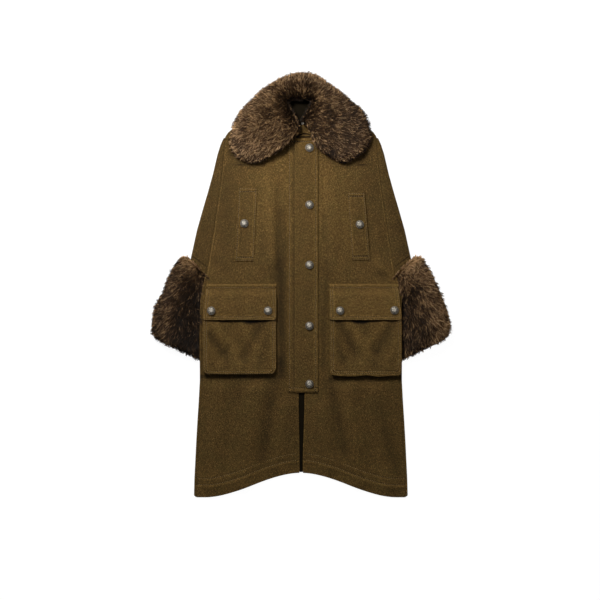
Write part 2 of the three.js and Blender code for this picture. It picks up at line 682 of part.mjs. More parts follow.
// The bellows: a folded strip round the two sides and the bottom, with its fold opening outwards.
// Each point of the section is a distance in from the pocket's edge and a share of its height.
const GUSSET_SECTION = [
  { inward: 0, share: 0 },
  { inward: 0, share: 0.18 },
  { inward: 4.6, share: 0.5 },
  { inward: 0, share: 0.82 },
  { inward: 0, share: 1 },
  { inward: 7, share: 1 },
  { inward: 7, share: 0 },
];

function buildPocketGusset(pocket) {
  const { inner, outer, side } = pocket;
  const radius = POCKET_CORNER - GUSSET_INSET;
  const path = [];
  const low = POCKET_BOTTOM + GUSSET_INSET;
  const [west, east] = [inner + GUSSET_INSET, outer - GUSSET_INSET];
  for (const t of steps(5)) {
    path.push({ x: west, y: lerp(POCKET_TOP - 4, low + radius, t), nx: 1, ny: 0 });
  }
  const corner = (x, y, from) => {
    for (const t of [0.33, 0.67, 1]) {
      const angle = from + (t * Math.PI) / 2;
      const [nx, ny] = [-Math.cos(angle), -Math.sin(angle)];
      path.push({ x: x - radius * nx, y: y - radius * ny, nx, ny });
    }
  };
  corner(west + radius, low + radius, Math.PI);
  for (const t of [0.25, 0.5, 0.75, 1]) {
    path.push({ x: lerp(west + radius, east - radius, t), y: low, nx: 0, ny: 1 });
  }
  corner(east - radius, low + radius, 1.5 * Math.PI);
  for (const t of steps(5).slice(1)) {
    path.push({ x: east, y: lerp(low + radius, POCKET_TOP - 4, t), nx: -1, ny: 0 });
  }
  const loops = path.map((at) => GUSSET_SECTION.map((corner2) => {
    const x = side * (at.x + corner2.inward * at.nx);
    const y = at.y + corner2.inward * at.ny;
    const floor = smoothFront(x, y) + GAP;
    const height = rimHeight(y) - 2 * GAP;
    return new THREE.Vector3(x, y, floor + height * corner2.share);
  }));
  const count = GUSSET_SECTION.length;
  const triangles = [];
  for (let i = 0; i + 1 < loops.length; i += 1) {
    for (let j = 0; j < count; j += 1) {
      const [a, b] = [i * count + j, i * count + ((j + 1) % count)];
      triangles.push([a, b, b + count], [a, b + count, a + count]);
    }
  }
  const outline = GUSSET_SECTION.map((p) => new THREE.Vector2(p.inward, p.share * RIM_TOP));
  for (const [a, b, c] of THREE.ShapeUtils.triangulateShape(outline, [])) {
    const end = (loops.length - 1) * count;
    triangles.push([a, b, c], [end + a, end + c, end + b]);
  }
  add(`${pocket.name}_gusset`, "loden", closedBody(loops.flat(), triangles));
}

function buildPocketFlap(pocket) {
  const columns = [0, 0.025, 0.1, 0.25, 0.4, 0.6, 0.75, 0.9, 0.975, 1];
  const place = (row, share) => {
    const y = FLAP_TOP - row.down;
    const slant = row.down / (FLAP_TOP - FLAP_BOTTOM);
    const outer = lerp(pocket.flapOuterTop, pocket.outer + 0.6, slant);
    const x = pocket.side * lerp(pocket.inner - 0.6, outer, share);
    const loose = smooth((row.down - 12) / 30);
    const sag = FLAP_SAG * loose * Math.sin(Math.PI * share) ** 2;
    const under = smoothFront(x, y) + GAP + row.under - sag;
    return { x, y, under, top: under + row.thick };
  };
  add(`${pocket.name}_flap`, "loden", plate(FLAP_ROWS, columns, place));
}

// ---------------------------------------------------------------------------------------------
// Buttons: domed, with a raised rim and a plain boss
// ---------------------------------------------------------------------------------------------
const BUTTON_PROFILE = [
  { radius: 0, height: 0 },
  { radius: 0.62, height: 0 },
  { radius: 1, height: 0.4 },
  { radius: 0.9, height: 0.66 },
  { radius: 0.78, height: 0.66 },
  { radius: 0.5, height: 0.92 },
  { radius: 0, height: 1 },
];

function addButton(name, x, y, z) {
  const profile = BUTTON_PROFILE.map(
    (p) => new THREE.Vector2(p.radius * BUTTON_RADIUS, p.height * BUTTON_HEIGHT),
  );
  const lathe = new THREE.LatheGeometry(profile, BUTTON_SIDES);
  lathe.rotateX(Math.PI / 2);
  add(name, "metal", lathe, x, y, z);
}

// The highest point of the cloth under a button that is centred at x, y.
function highestUnder(x, y, topAt) {
  const ring = steps(12).map((t) => 2 * Math.PI * t);
  return Math.max(...ring.map((a) => topAt(
    x + 0.62 * BUTTON_RADIUS * Math.cos(a), y + 0.62 * BUTTON_RADIUS * Math.sin(a))));
}

function buildButtons() {
  PLACKET_BUTTONS.heights.forEach((y, i) => {
    const rest = FRONT_TOP + GAP + PLACKET_THICK;
    addButton(`button_front_${i + 1}`, PLACKET_BUTTONS.x, y, rest + GAP);
  });
  for (const button of WELT_BUTTONS) {
    const rest = highestUnder(button.x, button.y, frontTop) + GAP + CLOTH;
    addButton(button.name, button.x, button.y, rest + WELT_LIP * 0.6 + GAP);
  }
  for (const button of FLAP_BUTTONS) {
    const flapTop = read(FLAP_ROWS, "down", "under", FLAP_TOP - button.y) + FLAP_CLOTH;
    const rest = highestUnder(button.x, button.y, smoothFront) + GAP + flapTop;
    addButton(button.name, button.x, button.y, rest + GAP);
  }
}

// ---------------------------------------------------------------------------------------------
// The coat
// ---------------------------------------------------------------------------------------------
buildBack();
for (const [side, name] of [[-1, "left"], [1, "right"]]) {
  buildFront(side, `front_${name}`);
  buildYoke(side, `yoke_${name}`);
  buildSleeve(side, `sleeve_${name}`);
  buildCuff(side, `cuff_${name}`);
}
buildCollar();
buildNeckFacing();
buildNeckBand();
buildHook();
buildPlacket();
buildButtonStand();
WELTS.forEach(buildWelt);
for (const pocket of POCKETS) {
  buildPocketFace(pocket);
  buildPocketGusset(pocket);
  buildPocketFlap(pocket);
}
buildButtons();

export default coat;
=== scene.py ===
"""Dresses the loden cape coat: wool panels, fur, pockets, buttons and topstitching.

All sizes in this file are millimetres until a mesh is made. +Z is up, +Y runs from the hem to the
collar, and left and right are those of someone who looks down on the coat. x, y and z are places
along these axes, and u and v are shares from 0 to 1 over a piece's own surface.
"""
import logging
import math
from dataclasses import dataclass, field
from enum import Enum
from typing import Callable, Optional, Sequence

import bmesh
import bpy
import numpy as np
from mathutils import Matrix, Vector
from mathutils.kdtree import KDTree


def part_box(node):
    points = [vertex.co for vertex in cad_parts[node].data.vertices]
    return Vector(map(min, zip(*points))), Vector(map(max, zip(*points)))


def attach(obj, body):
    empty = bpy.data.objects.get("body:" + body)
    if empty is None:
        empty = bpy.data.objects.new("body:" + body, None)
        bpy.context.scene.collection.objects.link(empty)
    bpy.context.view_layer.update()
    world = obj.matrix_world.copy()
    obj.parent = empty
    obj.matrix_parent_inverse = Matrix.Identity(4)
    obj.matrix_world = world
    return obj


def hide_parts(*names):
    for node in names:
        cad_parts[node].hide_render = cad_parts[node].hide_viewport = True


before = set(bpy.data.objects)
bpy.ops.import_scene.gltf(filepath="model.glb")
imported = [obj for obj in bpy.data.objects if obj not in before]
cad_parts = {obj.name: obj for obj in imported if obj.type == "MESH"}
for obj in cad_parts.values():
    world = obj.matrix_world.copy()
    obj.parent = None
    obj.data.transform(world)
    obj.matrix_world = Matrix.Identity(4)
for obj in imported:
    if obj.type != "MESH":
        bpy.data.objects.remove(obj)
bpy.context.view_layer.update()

LOG = logging.getLogger("cape_coat")
MM = 0.001

Array = np.ndarray
Colour = tuple[float, float, float]
Points = tuple[Array, Array, Array]
Laid = tuple[Array, Array, Array, Array]
Form = Callable[[Array, Array], Points]
Tone = Callable[[Array, Array], Array]
Lay = Callable[[Array, Array], Laid]


class Slot(Enum):
    """The record's material slots."""

    LODEN = "loden"
    FUR = "fur"
    LINING = "lining"
    METAL = "button_metal"


class Side(Enum):
    """The two sides of the coat, with the sign of x."""

    LEFT = -1
    RIGHT = 1

    @property
    def word(self) -> str:
        """The side's name in lower case."""
        return self.name.lower()


# --- Form of the laid coat ---
HEM_LOW = -551.5
HEM_RISE = 63.5
HEM_SPAN = 250.0
HEM_CORNER = 9.0
BACK_HEM_INSET = 3.0
YOKE_SEAM = 312.0
UNDERARM = 24.0
SHOULDER_END = 386.0
BODY_HALF = 262.0
CLOTH = 2.5
GAP = 0.35
FRONT_UNDER = CLOTH + GAP
FRONT_TOP = FRONT_UNDER + CLOTH
COLLAR_REST = 9.6
CUFF_LIFT = 18.0
LIFT_MIDDLE = -90.0
LIFT_HALF = 260.0
LIFT_REACH = 190.0
LIFT_LOOSE = 1.03
HEM_FADE = 230.0
TOP_FADE = 170.0
SEAM_DEPTH = 1.45
TURNED = 1.15
WAVES = 7
FULL_WAVE = 6.28

# Rows of a cloth's mesh: in from its edges, beside its seams, and the least gap between two.
EDGE_ROWS = (0.0, 0.3, 0.75, 1.4, 2.6)
SEAM_ROWS = (-3.2, -1.7, -0.8, 0, 0.8, 1.7, 3.2)
LEAST_GAP = 0.2

BODY_EDGE = (
    (-550, 277.5), (-507, 276.5), (-455, 274), (-403, 271.5), (-351, 268.5), (-299, 265),
    (-247, 262), (-120, 262), (-40, 260), (0, 254), (24, 247), (40, 243.5), (86, 236.5),
    (138, 228), (200, 219), (256, 210.5), (321, 203), (374, 197.5), (386, 196),
)
SHOULDER = ((72, 478), (120, 446), (178, 405), (189, 396), (196, 386))
FRONT_NECK = ((0, 386), (22, 392), (45, 412), (60, 440), (72, 478))
OPENING = (
    (-550, -3.6, 5.5), (-480, -3.6, 5.5), (-280, -6, 10.4), (390, -6, 10.4),
)

# Folds of the fronts: from x1, y1 to x2, y2, half width and height.
FOLDS = (
    (-72, 300, -70, 60, 20, 4),
    (-112, 330, -100, 20, 16, 2.6),
    (-52, 20, -50, -190, 15, 3.2),
    (-40, -260, -62, -470, 26, 6),
    (-122, -262, -150, -520, 30, 8),
    (-214, -262, -226, -520, 28, 6),
    (66, 300, 72, 60, 20, 4),
    (96, 60, 60, -240, 16, 3),
    (184, 66, 240, 16, 16, 5),
    (50, -270, 66, -470, 24, 5),
    (112, -262, 150, -510, 28, 8),
    (190, -262, 228, -520, 26, 6),
)
FOLD_END = 60.0
FOLD_MARGIN = 26.0
SMOOTH_MARGIN = 14.0
SMOOTH_PLACES = (
    (-33, 44.7, -279.5, 550), (-1100, 1100, YOKE_SEAM - 6, 550),
    (-171, -113, 62, 252), (120, 180, 65, 240),
    (-253, -64, -233, 2.6), (75, 260.5, -233, 2.6),
)

# Finer creases over the folds, with the same columns.
CREASES = (
    (-88, 296, -80, 150, 8, 1.6), (-58, 250, -60, 40, 7, -1.4), (-92, 60, -84, 8, 9, 1.3),
    (-190, 60, -226, 28, 10, 2.0), (-196, 160, -190, 60, 12, 1.6), (-58, -40, -60, -210, 7, -1.6),
    (-86, -300, -96, -430, 13, -2.4), (-180, -270, -190, -420, 14, -2.2),
    (-20, -300, -22, -450, 10, 1.4), (-148, -250, -146, -330, 12, 1.8),
    (58, 292, 60, 120, 7, -1.5), (86, 280, 96, 110, 9, 1.6), (62, 100, 56, -60, 7, 1.2),
    (60, -60, 58, -220, 7, -1.6), (196, 150, 200, 60, 12, 1.6), (206, 40, 176, 82, 9, 1.5),
    (80, -290, 100, -430, 13, -2.4), (168, -280, 190, -420, 14, -2.3),
    (28, -320, 32, -450, 10, 1.4), (132, -250, 128, -340, 12, 1.8),
)

# Painted shade in the folds' hollows and painted highlights on their crests, with the same
# columns; the last is a share.
FOLD_LIGHT_AND_SHADE = (
    (-52, 190, -48, -230, 18, -0.72), (-60, 60, -56, -120, 12, -0.30),
    (-60, -200, -100, -450, 15, -0.60), (-143, -210, -168, -300, 14, -0.30),
    (-20, -290, -26, -420, 14, -0.20), (64, 190, 60, -220, 14, -0.34),
    (77, -250, 116, -430, 14, -0.48), (194, -300, 246, -480, 14, -0.36),
    (-92, 300, -86, 120, 12, 0.14), (60, 300, 56, 70, 9, 0.25), (-230, 70, -196, 40, 12, -0.25),
    (-142, 240, -147, 70, 26, -0.20), (143, 235, 156, 75, 26, -0.12),
    (-190, 240, -200, 60, 16, -0.20), (186, 70, 240, 12, 9, 0.30), (198, 52, 244, -8, 9, -0.32),
    (100, 60, 98, 16, 12, 0.18), (-100, 150, -98, 40, 16, -0.26),
    (136, -320, 142, -440, 15, 0.26),
)

# The collar's lower outline, where the wool below lies in its shade.
COLLAR_LINE = (
    (-183, 376), (-179, 348), (-156, 324), (-124, 314), (-86, 331), (-48, 355), (-24, 381),
    (-4, 402), (8, 408), (22, 398), (29, 386), (50, 352), (76, 334), (117, 314), (145, 325),
    (168, 347), (180, 384),
)


def smooth(t: Array) -> Array:
    """Eases a share from 0 to 1, level at both ends."""
    t = np.clip(t, 0.0, 1.0)
    return t * t * (3 - 2 * t)


def bell(t: Array) -> Array:
    """A bell curve: 1 at 0 and next to nothing past 2."""
    return np.exp(-(t**2))


def mix(a: Array, b: Array, t: Array) -> Array:
    """The value a share t of the way from a to b."""
    return a + (b - a) * t


def read(table: Sequence[Sequence[float]], at: Array, column: int = 1) -> Array:
    """Reads a column of a table whose first column rises, straight between its rows."""
    return np.interp(at, [row[0] for row in table], [row[column] for row in table])


def flow(values: Sequence[float], t: Array) -> Array:
    """Reads a row of evenly spaced values along one smooth curve.

    Args:
        values: the values along the curve.
        t: shares of the curve, from 0 to 1.

    Returns:
        The curve's values at those shares.
    """
    held = np.asarray(values, float)
    place = np.clip(t, 0, 1) * (len(held) - 1)
    i = np.clip(place.astype(int), 0, len(held) - 2)
    f = place - i
    before, after = held[np.maximum(i - 1, 0)], held[np.minimum(i + 2, len(held) - 1)]
    a, b = held[i], held[i + 1]
    return a + 0.5 * f * (b - before + f * (2 * before - 5 * a + 4 * b - after
                                            + f * (3 * (a - b) + after - before)))


def spread(values: Sequence[float], t: Array) -> Array:
    """Reads a row of evenly spaced values, straight between them."""
    return np.interp(t, np.linspace(0, 1, len(values)), values)


def rounded(up: Array, radius: float) -> Array:
    """How far a rounded corner draws an edge in, at a distance up from where it ends."""
    return radius - np.sqrt(radius**2 - (radius - np.clip(up, 0, radius)) ** 2)


def unit(arrows: Array) -> Array:
    """The arrows, each made 1 long."""
    return arrows / (np.linalg.norm(arrows, axis=1, keepdims=True) + 1e-6)


def from_edge(u: Array, v: Array, wide: float, long: float) -> Array:
    """Distance in from the nearest of a cloth's four edges."""
    return np.minimum(np.minimum(u, 1 - u) * wide, np.minimum(v, 1 - v) * long)


def rolled(distance: Array, radius: float) -> Array:
    """How far a turned edge drops at a distance in from it."""
    inside = np.clip(1 - distance / radius, 0, 1)
    return radius * (1 - np.sqrt(np.clip(1 - inside**2, 0, 1)))


def groove(distance: Array, at: float, width: float = 1.5) -> Array:
    """A stitched channel at a distance in from an edge, with the cloth puffed up beside it.

    Args:
        distance: distances in from the edge.
        at: the channel's own distance in.
        width: its half width.

    Returns:
        How deep the cloth is drawn in; less than 0 where it puffs up.
    """
    away = np.abs(distance - at)
    puff = bell((away - 2.6 * width) / (1.3 * width))
    return SEAM_DEPTH * (bell(away / width) - 0.42 * puff)


def ridges(table: Sequence[Sequence[float]], x: Array, y: Array) -> Array:
    """Height of a table of soft ridges and troughs, each between two points.

    Args:
        table: rows of x1, y1, x2, y2, half width and height.
        x: places across the coat.
        y: places along it.

    Returns:
        The heights of all the rows together.
    """
    height = np.zeros_like(x, dtype=float)
    for x1, y1, x2, y2, width, rise in table:
        dx, dy = x2 - x1, y2 - y1
        share = ((x - x1) * dx + (y - y1) * dy) / (dx * dx + dy * dy)
        held = np.clip(share, 0, 1)
        away = np.hypot(x - x1 - held * dx, y - y1 - held * dy) / width
        past = np.abs(share - held) * math.hypot(dx, dy)
        height += rise * bell(away) * (1 - smooth(past / FOLD_END))
    return height


def beside(line: Sequence[tuple[float, float]], x: Array, y: Array) -> Array:
    """Distance from x, y to a line of points.

    Args:
        line: the line's x, y points.
        x: places across the coat.
        y: places along it.

    Returns:
        The distance to the nearest part of the line.
    """
    near = np.full(np.shape(x), 1e6)
    for (x1, y1), (x2, y2) in zip(line, line[1:]):
        dx, dy = x2 - x1, y2 - y1
        share = np.clip(((x - x1) * dx + (y - y1) * dy) / (dx * dx + dy * dy), 0, 1)
        near = np.minimum(near, np.hypot(x - x1 - share * dx, y - y1 - share * dy))
    return near


def wander(x: Array, y: Array, size: float, seed: int) -> Array:
    """A slow uneven surface of height about 1, from a few crossed waves of one size.

    Args:
        x: places across the coat.
        y: places along it.
        size: the usual length of a wave.
        seed: the source of chance.

    Returns:
        The surface's heights.
    """
    dice = np.random.default_rng(seed)
    height = np.zeros_like(x, dtype=float)
    for _ in range(WAVES):
        turn, phase = dice.uniform(0, math.pi), dice.uniform(0, FULL_WAVE)
        stretch = dice.uniform(0.7, 1.5)
        along = x * math.cos(turn) + y * math.sin(turn)
        height += np.sin(along * FULL_WAVE * stretch / size + phase)
    return height / 4


def body_edge(y: Array) -> Array:
    """Half width of the coat's body at a height."""
    return read(BODY_EDGE, y)


def hem(x: Array) -> Array:
    """Height of the hem at x."""
    across = smooth(np.abs(x) / HEM_SPAN)
    corner = np.clip((np.abs(x) - body_edge(HEM_LOW) + HEM_CORNER) / HEM_CORNER, 0, 1)
    return HEM_LOW + HEM_RISE * (1 - across) + 0.6 * HEM_CORNER * corner**2


def lift(x: Array, y: Array) -> Array:
    """How far the cuffs lift the cloth at a point."""
    inward = np.clip((BODY_HALF - np.abs(x)) / LIFT_REACH, 0, 1)
    along = np.clip(np.abs(y - LIFT_MIDDLE) / LIFT_HALF, 0, 1)
    return CUFF_LIFT * (1 - inward) ** 2 * np.cos(along * math.pi / 2) ** 2


def freedom(x: Array, y: Array, margin: float, reach: float) -> Array:
    """How free the fronts are at a point: 0 under a sewn-on piece and at the side seams.

    Args:
        x: places across the coat.
        y: places along it.
        margin: how far round a sewn-on piece the cloth stays smooth.
        reach: over how far it comes free.

    Returns:
        Shares from 0 to 1.
    """
    free = smooth((body_edge(y) - np.abs(x)) / reach)
    for left, right, bottom, top in SMOOTH_PLACES:
        dx = np.maximum(np.maximum(left - x, x - right), 0)
        dy = np.maximum(np.maximum(bottom - y, y - top), 0)
        free = free * smooth((np.hypot(dx, dy) - margin) / reach)
    return free


def smooth_front(x: Array, y: Array) -> Array:
    """Height of the fronts without their folds."""
    return FRONT_TOP + LIFT_LOOSE * lift(x, y)


def folded_front(x: Array, y: Array) -> Array:
    """Height of the fronts with their main folds."""
    return smooth_front(x, y) + ridges(FOLDS, x, y) * freedom(x, y, SMOOTH_MARGIN, FOLD_MARGIN)


def front_top(x: Array, y: Array) -> Array:
    """Height of the fronts with folds, creases and the slight unevenness of laid wool."""
    fine = ridges(CREASES, x, y) + 0.35 * wander(x, y, 74, 3) + 0.5 * wander(x, y, 190, 8)
    return folded_front(x, y) + fine * freedom(x, y, 3, 12)


def collar_shade(x: Array, y: Array) -> Array:
    """How much the wool darkens in the collar's shade."""
    return -0.62 * bell(beside(COLLAR_LINE, x - 2, y + 4) / 10)


def front_painted_light(x: Array, y: Array) -> Array:
    """Painted light and shade on the fronts: lighter at the chest, darker towards the side seams.
    """
    # Painted highlight over the chest and painted shade towards the side seams.
    chest = smooth((y - 30) / 140)
    across = (np.abs(x) - 66) / 190
    # A painted shadow band under each pocket.
    pocket_shadow_width = 5.5 + 2.5 * np.sin(math.pi * np.clip(across, 0, 1)) + np.sin(across * 13)
    under = bell((y + 239.5 + 1.5 * np.sign(x)) / pocket_shadow_width) * smooth((np.abs(x) - 62) / 26)
    side = smooth((np.abs(x) - 90) / 110)
    free = freedom(x, y, 0, 10)
    # Also a lighter hem, painted shade and highlights along the folds, a dark mark on the yoke seam
    # and the collar's painted shadow.
    return (chest * (0.34 - 0.62 * side) + 0.28 * smooth((-430 - y) / 60) - 0.95 * under
            + ridges(FOLD_LIGHT_AND_SHADE, x, y) * (0.35 + 0.65 * free) + 0.05 * wander(x, y, 120, 77)
            - 1.3 * np.exp(-(((y - YOKE_SEAM) / 1.9) ** 2 + ((np.abs(x) - 160) / 15) ** 2))
            + collar_shade(x, y))


def sweep_row(level: Array, hem_at: Array, top_at: Array) -> Array:
    """Height of a row that follows the hem at the bottom and the shoulder at the top.

    Args:
        level: the row's height where the cloth is straight.
        hem_at: the hem's height there.
        top_at: the shoulder's height there.

    Returns:
        The row's heights.
    """
    low = 1 - smooth((level - HEM_LOW) / HEM_FADE)
    high = smooth((level - SHOULDER_END + TOP_FADE) / TOP_FADE)
    return level + low * (hem_at - HEM_LOW) + high * (top_at - SHOULDER_END)


def back_top_line(x: Array) -> Array:
    """The back's upper edge: the back neck and the shoulders."""
    neck_x, neck_y = SHOULDER[0]
    neck = neck_y + 8 * (1 - (np.abs(x) / neck_x) ** 2)
    return np.where(np.abs(x) < neck_x, neck, read(SHOULDER, np.abs(x)))


def yoke_top_line(x: Array) -> Array:
    """The yoke's upper edge: the front neck and the shoulder."""
    inside = np.abs(x) < SHOULDER[0][0]
    return np.where(inside, read(FRONT_NECK, np.abs(x)), read(SHOULDER, np.abs(x)))


# --- Shader helpers ---
class Value:
    """A shader socket that can stand in a Python expression."""

    def __init__(self, shader: "Shader", socket: bpy.types.NodeSocket) -> None:
        """Holds a socket and the shader it belongs to."""
        self.shader = shader
        self.socket = socket

    def _math(self, operation: str, first: object, second: object) -> "Value":
        """Adds a Math node."""
        return self.shader.node("ShaderNodeMath", {"operation": operation}, {0: first, 1: second})

    def __add__(self, other: object) -> "Value":
        """self + other."""
        return self._math("ADD", self, other)

    def __radd__(self, other: object) -> "Value":
        """other + self."""
        return self._math("ADD", other, self)

    def __sub__(self, other: object) -> "Value":
        """self - other."""
        return self._math("SUBTRACT", self, other)

    def __rsub__(self, other: object) -> "Value":
        """other - self."""
        return self._math("SUBTRACT", other, self)

    def __mul__(self, other: object) -> "Value":
        """self * other."""
        return self._math("MULTIPLY", self, other)

    def __rmul__(self, other: object) -> "Value":
        """other * self."""
        return self._math("MULTIPLY", other, self)

    def between(self, low: float, high: float) -> "Value":
        """Eases from 0 to 1 as this value goes from low to high."""
        links = {"Value": self, "From Min": low, "From Max": high}
        return self.shader.node("ShaderNodeMapRange", {"interpolation_type": "SMOOTHSTEP"}, links)


class Shader:
    """One material's node tree, written as expressions."""

    def __init__(self, name: str) -> None:
        """Starts an empty material."""
        self.material = bpy.data.materials.new(name)
        self.material.use_nodes = True
        self.tree = self.material.node_tree
        self.tree.nodes.clear()

    def node(self, kind: str, settings: Optional[dict] = None, inputs: Optional[dict] = None,
             out: object = 0) -> Value:
        """Adds a node.

        Args:
            kind: the node's type.
            settings: its own settings, set first; "stops" are a colour ramp's.
            inputs: values or links for its sockets, by name or number.
            out: the name or number of the socket that is returned.

        Returns:
            The chosen output.
        """
        made = self.tree.nodes.new(kind)
        for key, value in (settings or {}).items():
            if key == "stops":
                ramp = made.color_ramp
                while len(ramp.elements) < len(value):
                    ramp.elements.new(1.0)
                for element, (place, colour) in zip(ramp.elements, value):
                    element.position, element.color = place, (*colour, 1.0)
            else:
                setattr(made, key, value)
        for key, value in (inputs or {}).items():
            if isinstance(value, Value):
                self.tree.links.new(value.socket, made.inputs[key])
            elif isinstance(value, tuple) and made.inputs[key].type == "RGBA":
                made.inputs[key].default_value = (*value, 1.0)
            else:
                made.inputs[key].default_value = value
        return Value(self, made.outputs[out])

    def place(self, scale: Colour = (1, 1, 1), turn: float = 0.0) -> Value:
        """The piece's own coordinates, stretched and turned about +Z.

        Args:
            scale: the stretch along each axis.
            turn: the turn in radians.

        Returns:
            The coordinates.
        """
        at = self.node("ShaderNodeTexCoord", out="Object")
        return self.node("ShaderNodeMapping", None,
                         {"Vector": at, "Rotation": (0, 0, turn), "Scale": scale})

    def attribute(self, name: str) -> Value:
        """Reads a value that the mesh holds at its points."""
        return self.node("ShaderNodeAttribute", {"attribute_name": name}, None, "Fac")

    def noise(self, at: Value, scale: float, detail: float = 2.0, rough: float = 0.5) -> Value:
        """Soft noise of about 1/scale metres."""
        return self.node("ShaderNodeTexNoise", None,
                         {"Vector": at, "Scale": scale, "Detail": detail, "Roughness": rough})

    def blend(self, factor: object, first: object, second: object, mode: str = "MIX") -> Value:
        """Mixes two colours."""
        return self.node("ShaderNodeMix", {"data_type": "RGBA", "blend_type": mode},
                         {0: factor, 6: first, 7: second}, 2)

    def bump(self, height: Value, distance: float, strength: float) -> Value:
        """Turns a height into a normal."""
        links = {"Height": height, "Distance": distance, "Strength": strength}
        return self.node("ShaderNodeBump", None, links)

    def surface(self, **sockets: object) -> bpy.types.Material:
        """Closes the material with a Principled shader whose sockets are given by name."""
        named = {key.replace("_", " "): value for key, value in sockets.items()}
        shader = self.node("ShaderNodeBsdfPrincipled", None, named)
        end = self.tree.nodes.new("ShaderNodeOutputMaterial")
        self.tree.links.new(shader.socket, end.inputs["Surface"])
        return self.material


# --- Finishes ---
@dataclass(frozen=True)
class LodenFinish:
    """Felted melange wool: flecks of several browns under a short brushed nap.

    The tone attribute paints light and shade: lighter crests and edges, darker hollows, seams and
    shadows.
    """

    name: str = "loden"
    deep: Colour = (0.036, 0.0210, 0.0056)
    body: Colour = (0.089, 0.0515, 0.0144)
    olive: Colour = (0.079, 0.0520, 0.0144)
    fleck: Colour = (0.215, 0.1220, 0.0380)
    turn: float = 0.0

    def material(self) -> bpy.types.Material:
        """Makes the wool."""
        s = Shader(self.name)
        at = s.place(turn=self.turn)
        nap = s.place(scale=(1.0, 0.42, 1.0), turn=self.turn)
        cloud = s.noise(at, 26, 3, 0.55)
        blotch = s.noise(at, 110, 2, 0.6)
        grain = s.noise(nap, 570, 2, 0.75)
        spark = s.noise(nap, 860, 1, 0.5)
        painted_light_and_shade = s.attribute("tone")
        fibre = s.noise(nap, 1500, 2, 0.7)
        tone = s.blend(cloud.between(0.35, 0.65), self.body, self.olive)
        tone = s.blend(blotch.between(0.30, 0.72) * 0.30, tone, self.deep)
        tone = s.blend(grain.between(0.40, 0.61) * 0.86, self.deep, tone)
        tone = s.blend(spark.between(0.56, 0.70) * 0.74, tone, self.fleck)
        # Multiplies in the painted light and shade of the tone attribute.
        tone = s.blend(1.0, tone, painted_light_and_shade * 0.60 + 1.0, "MULTIPLY")
        normal = s.bump(grain * 0.6 + fibre * 0.5, 0.0011, 0.55)
        return s.surface(Base_Color=tone, Roughness=0.93, Normal=normal,
                         Specular_IOR_Level=0.12, Sheen_Weight=0.03, Sheen_Roughness=0.5,
                         Sheen_Tint=(0.62, 0.44, 0.20))


@dataclass(frozen=True)
class ThreadFinish:
    """Twisted sewing thread, a little lighter than the wool."""

    colour: Colour = (0.185, 0.118, 0.046)
    light: Colour = (0.380, 0.250, 0.106)

    def material(self) -> bpy.types.Material:
        """Makes the thread."""
        s = Shader("thread")
        at = s.place()
        tone = s.blend(s.noise(at, 300, 1).between(0.35, 0.65), self.colour, self.light)
        normal = s.bump(s.noise(at, 2600, 1), 0.0002, 0.5)
        return s.surface(Base_Color=tone, Roughness=0.6, Specular_IOR_Level=0.2, Normal=normal)


@dataclass(frozen=True)
class LiningFinish:
    """Dark woven facing with a faint twill; its near-black also paints the shade in the vent and
    throat.
    """

    dark: Colour = (0.0032, 0.0024, 0.0013)
    light: Colour = (0.0090, 0.0068, 0.0036)

    def material(self) -> bpy.types.Material:
        """Makes the lining."""
        s = Shader("lining")
        lines = s.node("ShaderNodeTexWave", {"wave_type": "BANDS", "bands_direction": "DIAGONAL"},
                       {"Vector": s.place(), "Scale": 420.0, "Distortion": 0.6}, 1)
        wear = s.noise(s.place(), 60, 2)
        tone = s.blend(lines * 0.6 + wear * 0.4, self.dark, self.light)
        return s.surface(Base_Color=tone, Roughness=0.95, Specular_IOR_Level=0.03,
                         Normal=s.bump(lines, 0.0002, 0.4))


@dataclass(frozen=True)
class HideFinish:
    """The dense dark underfur between the guard hairs."""

    dark: Colour = (0.008, 0.0045, 0.0022)
    light: Colour = (0.034, 0.0195, 0.0095)

    def material(self) -> bpy.types.Material:
        """Makes the underfur."""
        s = Shader("underfur")
        at = s.place()
        wool = s.noise(at, 260, 3, 0.7)
        tone = s.blend(wool.between(0.35, 0.7), self.dark, self.light)
        return s.surface(Base_Color=tone, Roughness=0.95, Specular_IOR_Level=0.05,
                         Normal=s.bump(wool, 0.003, 0.8))


@dataclass(frozen=True)
class FurFinish:
    """Guard hairs that go from dark roots to lighter brown tips."""

    root: Colour = (0.0070, 0.0040, 0.0022)
    middle: Colour = (0.046, 0.0245, 0.0110)
    tip: Colour = (0.180, 0.0990, 0.0425)
    frost: Colour = (0.560, 0.350, 0.175)

    def material(self) -> bpy.types.Material:
        """Makes the fur, coloured by each hair's own tone."""
        s = Shader("fur")
        tone = s.attribute("tone")
        colour = s.node("ShaderNodeValToRGB", {"stops": (
            (0.0, self.root), (0.40, self.middle), (0.72, self.tip), (1.0, self.frost))},
            {"Fac": tone})
        return s.surface(Base_Color=colour, Roughness=0.55, Specular_IOR_Level=0.12)


@dataclass(frozen=True)
class SilverFinish:
    """Antique silver, polished on its relief and darkened in its recesses."""

    bright: Colour = (0.44, 0.41, 0.355)
    patina: Colour = (0.030, 0.025, 0.019)

    def material(self) -> bpy.types.Material:
        """Makes the metal."""
        s = Shader("antique_silver")
        recess = s.attribute("recess")
        at = s.place()
        smudge = s.noise(at, 420, 3, 0.6)
        dark = (recess * 1.1 + smudge * 0.5 - 0.12).between(0.10, 0.80)
        tone = s.blend(dark, self.bright, self.patina)
        rough = 0.56 + dark * 0.15
        return s.surface(Base_Color=tone, Metallic=1.0, Roughness=rough,
                         Normal=s.bump(s.noise(at, 1600, 2), 0.0001, 0.25))


